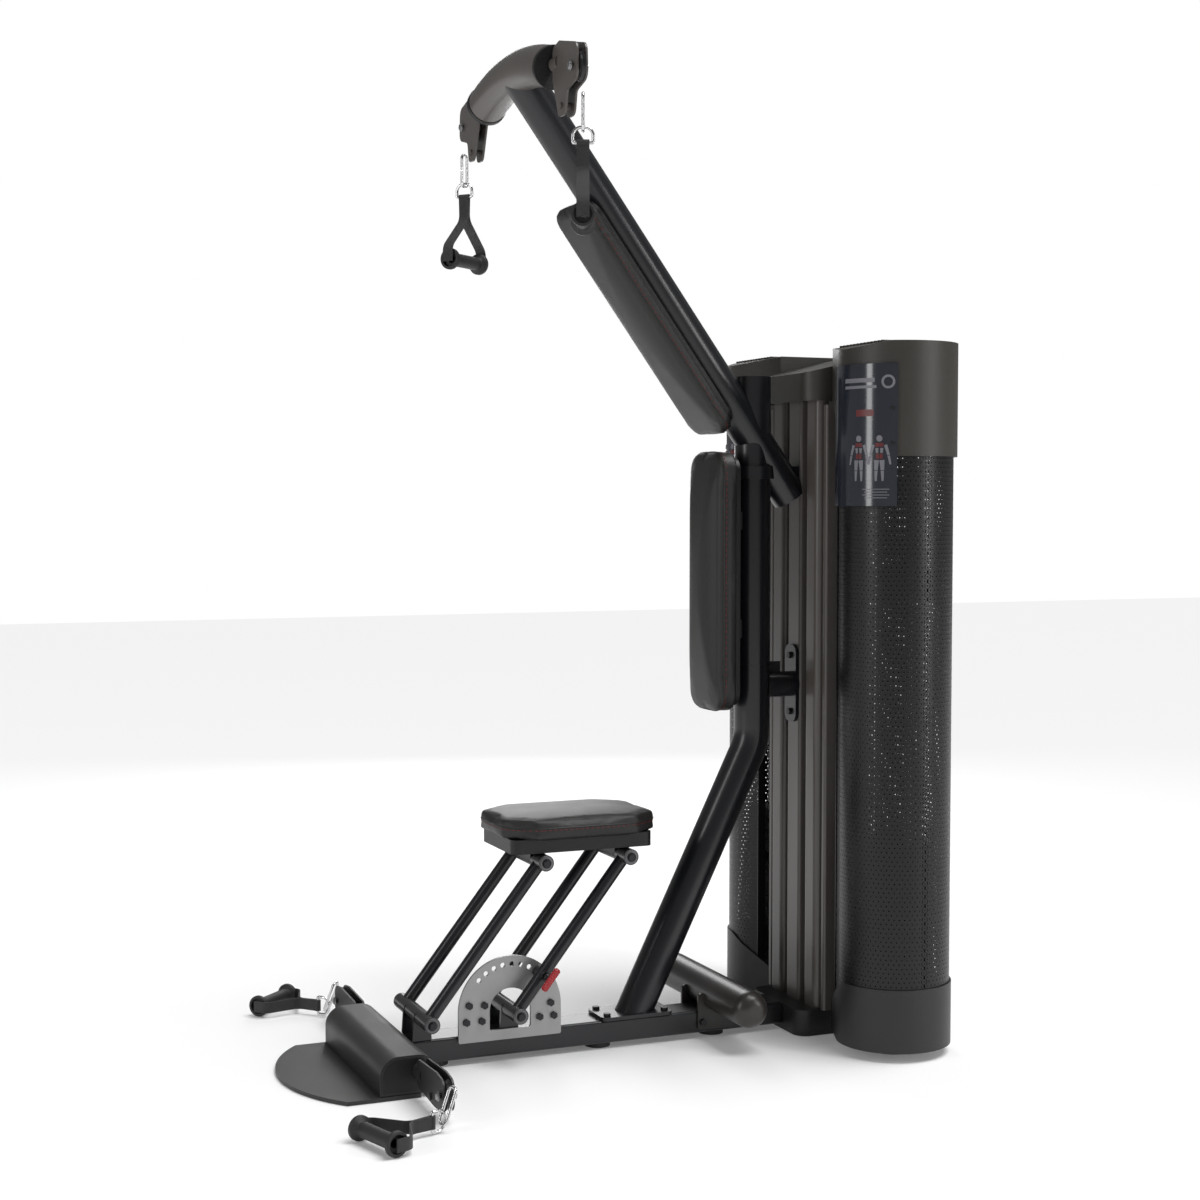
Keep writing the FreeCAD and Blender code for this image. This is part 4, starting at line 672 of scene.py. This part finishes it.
def cover_plan(hand):
    """(point, outward normal) all along a tower's outline, one cell apart."""
    walk, nose = [], 0.118
    corner = Vector((0.385, 0.404))
    run = nose * math.tan(math.radians(90) / 2 + face_slope / 2)
    into = Vector((-math.cos(face_slope), math.sin(face_slope)))
    tangent = corner + into * run
    first = Vector((0.190, 0.510 - 0.4257 * (0.190 - 0.136)))
    front_normal = Vector((-math.sin(face_slope), -math.cos(face_slope)))
    centre = tangent - front_normal * nose
    steps = max(1, round((tangent - first).length / pitch))
    walk += [(first.lerp(tangent, i / steps), front_normal) for i in range(steps)]
    start = math.atan2(front_normal.y, front_normal.x)
    turns = round(nose * -start / pitch)
    for i in range(turns + 1):
        a = start * (1 - i / turns)
        normal = Vector((math.cos(a), math.sin(a)))
        walk.append((centre + normal * nose, normal))
    rear = Vector((0.385 - nose, 0.704 - nose))
    turns = round(nose * math.pi / 2 / pitch)
    for i in range(1, turns + 1):
        normal = Vector((math.cos(math.pi / 2 * i / turns), math.sin(math.pi / 2 * i / turns)))
        walk.append((rear + normal * nose, normal))
    steps = round((rear.x - 0.188) / pitch)
    walk += [(Vector((rear.x - (rear.x - 0.188) * i / steps, 0.704)), Vector((0, 1)))
             for i in range(1, steps + 1)]
    return [(Vector((hand * p.x, p.y)), Vector((hand * n.x, n.y))) for p, n in walk]


def edge_strip(name, x0, x1, y0, y1, z0, z1):
    """A plain folded edge of a cover."""
    rings = [[(x0, y0, z), (x1, y0, z), (x1, y1, z), (x0, y1, z)] for z in (z0, z1)]
    return closed_mesh(name, rings, "frame", sheet_black, smooth=False)


for side, hand in (("near", 1), ("far", -1)):
    plan = cover_plan(hand)
    spots, outs, ups = [], [], []
    rows = round((cover_high - cover_low) / row_step)
    for row in range(rows + 1):
        z = cover_low + row * row_step
        for i, (point, normal) in enumerate(plan):
            share = min(1, max(0, (abs(point.x) - 0.186) / 0.10))
            if z < cover_low + 0.06 * share or z > cover_high - 0.10 * share:
                continue
            if row % 2 and i + 1 < len(plan):
                point = point.lerp(plan[i + 1][0], 0.5)
                normal = normal.lerp(plan[i + 1][1], 0.5).normalized()
            spots.append((point.x, point.y, z))
            outs.append((normal.x, normal.y, 0))
            ups.append((0, 0, 1))
    cover = grown(f"cover_{side}", perforated, spots, outs, "frame", "cover_black", ups=ups,
                  pitch=pitch, hole=hole, steel=sheet_black)
    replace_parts(cover, "tower_covers")
    front = 0.510 - 0.4257 * (0.186 - 0.136)
    edge_strip(f"cover_edge_{side}", *sorted((hand * 0.1845, hand * 0.187)), front - 0.003,
               front + 0.016, 0.062, 1.412)
    edge_strip(f"cover_back_edge_{side}", *sorted((hand * 0.1845, hand * 0.187)), 0.690, 0.7045,
               0.062, 1.412)

spots = []
columns, rows = round(0.360 / pitch), round(1.176 / row_step)
for row in range(rows):
    for column in range(columns - row % 2):
        spots.append((-0.180 + pitch * (column + 0.5 + (row % 2) / 2), 0.7025,
                      0.168 + row_step * row))
rear = grown("rear_sheet", perforated, spots, [(0, 1, 0)] * len(spots), "frame", "cover_black",
             ups=[(0, 0, 1)] * len(spots), pitch=pitch, hole=hole, steel=sheet_black)
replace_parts(rear, "rear_cover")
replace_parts(edge_strip("rear_brace", -0.262, 0.262, 0.6887, 0.7007, 0.963, 1.038),
            "rear_cover")

# ---- placards -----------------------------------------------------------------------------------
# Glossy dark plates with rounded corners, printed with two plain standing figures, some bars in
# place of wording and a small red window, and held by two screws.
placard_gloss = finish("dark blue gloss", (0.020, 0.023, 0.032), 0.16, mottle=0.1, grain=200,
                       depth=0.02, dust=0.02, coat=0.6)
dress(placard_gloss, "placards")
print_grey = finish("pale ink", (0.17, 0.17, 0.19), 0.4, mottle=0.1, depth=0.02, dust=0.0)
print_red = finish("red ink", (0.12, 0.012, 0.014), 0.35, mottle=0.1, depth=0.02, dust=0.0)


def printed(name, shapes, hand, material):
    """Flat printed shapes laid round the curved plate, a hair proud of it."""
    verts, faces = [], []
    for outline in shapes:
        start, count = len(verts), len(outline)
        for proud in (0.0004, -0.0002):
            verts += [on_placard(hand, u, v, proud) for u, v in outline]
        faces.append(tuple(start + i for i in range(count)))
        faces.append(tuple(start + count + i for i in reversed(range(count))))
        faces += [(start + i, start + count + i, start + count + (i + 1) % count,
                   start + (i + 1) % count) for i in range(count)]
    mesh = bpy.data.meshes.new(name)
    mesh.from_pydata(verts, [], faces)
    mesh.materials.append(material)
    piece = bpy.data.objects.new(name, mesh)
    scene.collection.objects.link(piece)
    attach(piece, "frame")
    return piece


def on_placard(hand, u, v, proud=0.0):
    """The point u round the plate from its middle and at height v, out from its face."""
    reach = 0.1313
    a = math.radians(-90 + hand * 20) + u / reach
    return (hand * 0.267 + (reach + proud) * math.cos(a),
            0.5825 + (reach + proud) * math.sin(a), v)


def bar(u, v, wide, tall):
    steps = max(1, round(wide / 0.006))
    low = [(u - wide / 2 + wide * i / steps, v - tall / 2) for i in range(steps + 1)]
    return low + [(x, v + tall / 2) for x, _ in reversed(low)]


def disc(u, v, radius, steps=20):
    return [(u + radius * math.cos(2 * math.pi * i / steps),
             v + radius * math.sin(2 * math.pi * i / steps)) for i in range(steps)]


def limb(u0, v0, u1, v1, w0, w1):
    run = Vector((u1 - u0, v1 - v0)).normalized()
    side = Vector((-run.y, run.x))
    return [(u0 + side.x * w0, v0 + side.y * w0), (u0 - side.x * w0, v0 - side.y * w0),
            (u1 - side.x * w1, v1 - side.y * w1), (u1 + side.x * w1, v1 + side.y * w1)]


def standing_figure(u, v, size):
    """(pale shapes, red shapes) of a plain figure with its feet at u, v."""
    pale, red = [disc(0, 0.067, 0.0050)], []
    for hand in (-1, 1):
        pale.append(limb(hand * 0.010, 0.057, hand * 0.015, 0.041, 0.0026, 0.0021))
        pale.append(limb(hand * 0.015, 0.040, hand * 0.018, 0.026, 0.0021, 0.0015))
        pale.append(limb(hand * 0.0044, 0.033, hand * 0.0052, 0.017, 0.0040, 0.0028))
        pale.append(limb(hand * 0.0052, 0.016, hand * 0.0056, 0.000, 0.0027, 0.0016))
        pale.append(limb(hand * 0.0040, 0.052, hand * 0.0036, 0.044, 0.0026, 0.0018))
        red.append(limb(hand * 0.0035, 0.060, hand * 0.0030, 0.054, 0.0030, 0.0034))
        red.append(limb(hand * 0.0030, 0.043, hand * 0.0030, 0.035, 0.0024, 0.0026))
    return ([[(u + x * size, v + y * size) for x, y in shape] for shape in pale],
            [[(u + x * size, v + y * size) for x, y in shape] for shape in red])


for side, hand in (("near", 1), ("far", -1)):
    pale, red = [], [bar(0.020, 1.370, 0.042, 0.014)]
    for u in (0.006, 0.054):
        grey_parts, red_parts = standing_figure(u, 1.228, 1.32)
        pale += grey_parts
        red += red_parts
    pale += [bar(0.004, 1.438, 0.078, 0.009), bar(0.006, 1.424, 0.082, 0.006)]
    pale += [bar(0.046, 1.211 - 0.006 * i, 0.060 - 0.010 * (i % 2), 0.0016) for i in range(4)]
    for i in range(20):
        a0, a1 = 2 * math.pi * i / 20, 2 * math.pi * (i + 1) / 20
        pale.append([(0.072 + r * math.cos(a), 1.434 + r * math.sin(a))
                     for r, a in ((0.0095, a0), (0.0145, a0), (0.0145, a1), (0.0095, a1))])
    printed(f"placard_print_{side}", pale, hand, print_grey)
    printed(f"placard_red_{side}", red, hand, print_red)
    heads = [on_placard(hand, 0.082, v) for v in (1.306, 1.380)]
    outward = [tuple(Vector(on_placard(hand, 0.082, v, 0.1)) - Vector(head))
               for head, v in zip(heads, (1.306, 1.380))]
    grown(f"placard_screws_{side}", bolts, heads, outward, "frame", "bolt_black",
          head=0.0038, height=0.0012, washer=0.0052, sides=16, metal=bolt_steel)

# ---- shroud tops --------------------------------------------------------------------------------
# Raised slats are moulded across the sloping top of each shroud, front to back.


def slat_tree():
    """Geometry nodes: on each point one slat, its length along the point's axis."""
    tree, given = growth_tree("slat", ("Length", "Width", "Height"), "Plastic")
    add, wire = tree.nodes.new, tree.links.new
    block, size = add("GeometryNodeMeshCube"), add("ShaderNodeCombineXYZ")
    for socket, name in zip(size.inputs, ("Width", "Height", "Length")):
        wire(given.outputs[name], socket)
    wire(size.outputs[0], block.inputs["Size"])
    planted(tree, given, block.outputs["Mesh"], "Plastic")
    return tree


slats = slat_tree()
hat_skin = BVHTree.FromObject(nodes["top_shrouds"], bpy.context.evaluated_depsgraph_get())
for side, hand in (("near", 1), ("far", -1)):
    spots, ways = [], []
    for i in range(13):
        x = hand * (0.165 + i * 0.0145)
        for y in (0.520, 0.565, 0.610, 0.655):
            top = hat_skin.ray_cast(Vector((x, y, 3)), Vector((0, 0, -1)))
            ahead = hat_skin.ray_cast(Vector((x, y + 0.01, 3)), Vector((0, 0, -1)))
            if top[0] is None or ahead[0] is None or top[0].z < 1.4:
                continue
            spots.append(tuple(top[0]))
            ways.append(tuple((ahead[0] - top[0]).normalized()))
    grown(f"hat_slats_{side}", slats, spots, ways, "frame", "shroud_taupe", length=0.036,
          width=0.006, height=0.005, plastic=warm_moulding)

# ---- weights and their guides -------------------------------------------------------------------
# Cast plates on two ground steel rods each, lifted by a sheathed cable over a sheave.
dress(finish("black cast iron", (0.020, 0.020, 0.021), 0.55, mottle=0.4, cloud=30, grain=500,
             depth=0.5, dust=0.06), "resting_weights", "lifted_weights_near",
      "lifted_weights_far")
dress(finish("ground steel", (0.60, 0.60, 0.61), 0.16, metallic=1.0, mottle=0.15, grain=500,
             depth=0.03, dust=0.0), "guide_rods", "selector_pin_near", "selector_pin_far")
sheave_plastic = finish("black nylon", (0.010, 0.010, 0.011), 0.34, grain=500, depth=0.08,
                        dust=0.02)
dress(sheave_plastic, "crown_sheaves", "upper_sheave_near", "upper_sheave_far",
      "lower_sheave_near", "lower_sheave_far", "lift_cable_near", "lift_cable_far")

# ---- pulley swivels -----------------------------------------------------------------------------
# Pairs of cut steel plates on a hub: warm grey at the boom's head, dark at the drum. Dark guards
# with bright screws cover the sheaves' outer ends.
dress(warm_enamel, "upper_swivel_near", "upper_swivel_far")
dress(foot_enamel, "lower_swivel_near", "lower_swivel_far")
for side, hand in (("near", 1), ("far", -1)):
    for level, x, y, z in (("upper", 0.336, -0.178, 2.029), ("lower", 0.386, -0.470, 0.052)):
        spots, ways = [], []
        for face_hand in (-1, 1):
            spots.append((hand * x, y + face_hand * 0.0165, z))
            ways.append((0, face_hand, 0))
        grown(f"{level}_sheave_bolts_{side}", bolts, spots, ways, f"swivel_{level}_{side}",
              "bolt_black", head=0.0075, height=0.004, washer=0.0095, sides=6,
              metal=bright_steel)

# ---- carabiners, straps and grips ---------------------------------------------------------------
# A bright wire hook and D-ring carry doubled nylon webbing, sewn below the ring, that parts to
# both ends of a moulded rubber grip.
dress(finish("bright chrome", (0.66, 0.66, 0.67), 0.14, metallic=1.0, mottle=0.1, grain=400,
             depth=0.03, dust=0.0), *(f"carabiner_{level}_{side}" for level in ("upper", "lower")
                                      for side in ("near", "far")))
dress(finish("black rubber", (0.014, 0.014, 0.015), 0.55, mottle=0.3, cloud=20, grain=800,
             depth=0.4, dust=0.04), "floor_feet", *(f"grip_{level}_{side}"
                                                    for level in ("upper", "lower")
                                                    for side in ("near", "far")))


def weave_group():
    """Shading for woven tape: diagonal rows of warp and weft across the strap's own UV map."""
    tree = bpy.data.node_groups.new("weave", "ShaderNodeTree")
    tree.interface.new_socket(name="Rows", in_out="INPUT", socket_type="NodeSocketFloat")
    for name in ("Mask", "Height"):
        tree.interface.new_socket(name=name, in_out="OUTPUT", socket_type="NodeSocketFloat")
    add, wire = tree.nodes.new, tree.links.new
    given, result = add("NodeGroupInput"), add("NodeGroupOutput")
    spot, turn = add("ShaderNodeUVMap"), add("ShaderNodeMapping")
    spot.uv_map = "tape"
    turn.inputs["Rotation"].default_value = (0, 0, math.radians(38))
    ribs = add("ShaderNodeTexWave")
    wire(spot.outputs["UV"], turn.inputs["Vector"])
    wire(turn.outputs[0], ribs.inputs["Vector"])
    wire(given.outputs["Rows"], ribs.inputs["Scale"])
    wire(ribs.outputs["Fac"], result.inputs["Mask"])
    wire(ribs.outputs["Fac"], result.inputs["Height"])
    return tree


nylon = bpy.data.materials.new("black nylon webbing")
nylon.use_nodes = True
tape = nylon.node_tree.nodes.new("ShaderNodeGroup")
tape.node_tree = weave_group()
tape.inputs["Rows"].default_value = 260
tape_ramp = nylon.node_tree.nodes.new("ShaderNodeValToRGB")
tape_ramp.color_ramp.elements[0].color = (0.006, 0.006, 0.007, 1)
tape_ramp.color_ramp.elements[1].color = (0.022, 0.022, 0.024, 1)
tape_bump = nylon.node_tree.nodes.new("ShaderNodeBump")
tape_bump.inputs["Distance"].default_value = 0.0006
tape_shader = nylon.node_tree.nodes["Principled BSDF"]
tape_shader.inputs["Roughness"].default_value = 0.7
tape_shader.inputs["Sheen Weight"].default_value = 0.2
nylon.node_tree.links.new(tape.outputs["Mask"], tape_ramp.inputs["Fac"])
nylon.node_tree.links.new(tape_ramp.outputs["Color"], tape_shader.inputs["Base Color"])
nylon.node_tree.links.new(tape.outputs["Height"], tape_bump.inputs["Height"])
nylon.node_tree.links.new(tape_bump.outputs["Normal"], tape_shader.inputs["Normal"])


def smooth_path(corners, radius, steps=7):
    """The corners of a path rounded off to a radius."""
    path = [Vector(corners[0])]
    for i in range(1, len(corners) - 1):
        here = Vector(corners[i])
        back, ahead = Vector(corners[i - 1]) - here, Vector(corners[i + 1]) - here
        cut = min(radius, back.length * 0.45, ahead.length * 0.45)
        start, stop = here + back.normalized() * cut, here + ahead.normalized() * cut
        path += [start.lerp(here, k / steps).lerp(here.lerp(stop, k / steps), k / steps)
                 for k in range(steps + 1)]
    return path + [Vector(corners[-1])]


def strap(name, length, lie, body, replaced):
    """Webbing that loops through the ring, runs down doubled, and parts to the grip's ends."""
    wide, thick, end, split = 0.0250, 0.0028, 0.0705, 0.045
    half_path = [(end, -length - 0.006), (end, -length + 0.028), (0.0017, -split - 0.004),
                 (0.0017, 0.0)]
    loop = [(0.0050 * math.sin(a), 0.0036 + 0.0050 * -math.cos(a))
            for a in (math.radians(40 + 280 * i / 12) for i in range(13))]
    right = smooth_path(half_path, 0.014)
    path = right[:-1] + [Vector(p) for p in loop] + [Vector((-p.x, p.y)) for p in
                                                     reversed(right[:-1])]
    rings = []
    for i, point in enumerate(path):
        ahead = path[min(i + 1, len(path) - 1)] - path[max(i - 1, 0)]
        normal = Vector((-ahead.y, ahead.x)).normalized() * thick / 2
        edge = wide / 2
        rings.append([lie @ Vector((point.x + s * normal.x, w, point.y + s * normal.y))
                      for s, w in ((1, -edge), (1, edge), (-1, edge), (-1, -edge))])
    piece = closed_mesh(name, rings, body, nylon)
    layer = piece.data.uv_layers.new(name="tape")
    gone = [0.0]
    for a, b in zip(path, path[1:]):
        gone.append(gone[-1] + (b - a).length)
    for loop_item in piece.data.loops:
        ring, corner = divmod(loop_item.vertex_index, 4)
        layer.data[loop_item.index].uv = (gone[ring], wide if corner in (1, 2) else 0.0)
    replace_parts(piece, replaced)
    # two rows of stitches through both layers below the ring
    marks, ways = [], []
    for v in (-0.016, -0.038):
        for i in range(6):
            for face_hand in (-1, 1):
                marks.append(tuple(lie @ Vector((face_hand * 0.0033, -0.009 + i * 0.0036, v))))
                ways.append(tuple((lie.to_3x3() @ Vector((0, 1, 0))).normalized()))
    grown(f"{name}_stitches", stitches, marks, ways, body, "web_black", length=0.0026,
          thread=0.0005, cotton=nylon_thread)


nylon_thread = finish("grey thread", (0.06, 0.06, 0.06), 0.6, depth=0.1, dust=0.0)
grab = 0.0647
for side, hand in (("near", 1), ("far", -1)):
    for level in ("upper", "lower"):
        if level == "upper":
            top = Vector((hand * 0.362, -0.178, 1.975))
            yaw, lean_angle, lie_angle, slack, length = -22 if hand > 0 else -51, 0, 0, 0, 0.142
        else:
            top = Vector((hand * 0.433, -0.470, 0.084))
            yaw, lean_angle, lie_angle, slack, length = (18 if hand > 0 else -46, 22, 90,
                                                         0.007, 0.118)
        lean_rad, lie_rad = math.radians(lean_angle), math.radians(lie_angle)
        down = 0.0363
        offset = Vector((0, -math.sin(lean_rad) * grab + slack - math.sin(lie_rad) * down,
                         -math.cos(lean_rad) * grab - math.cos(lie_rad) * down))
        pose = (Matrix.Translation(top) @ Matrix.Rotation(math.radians(yaw), 4, "Z")
                @ Matrix.Translation(offset) @ Matrix.Rotation(-lie_rad, 4, "X"))
        strap(f"webbing_{level}_{side}", length, pose, f"pull_{level}_{side}",
              f"strap_{level}_{side}")
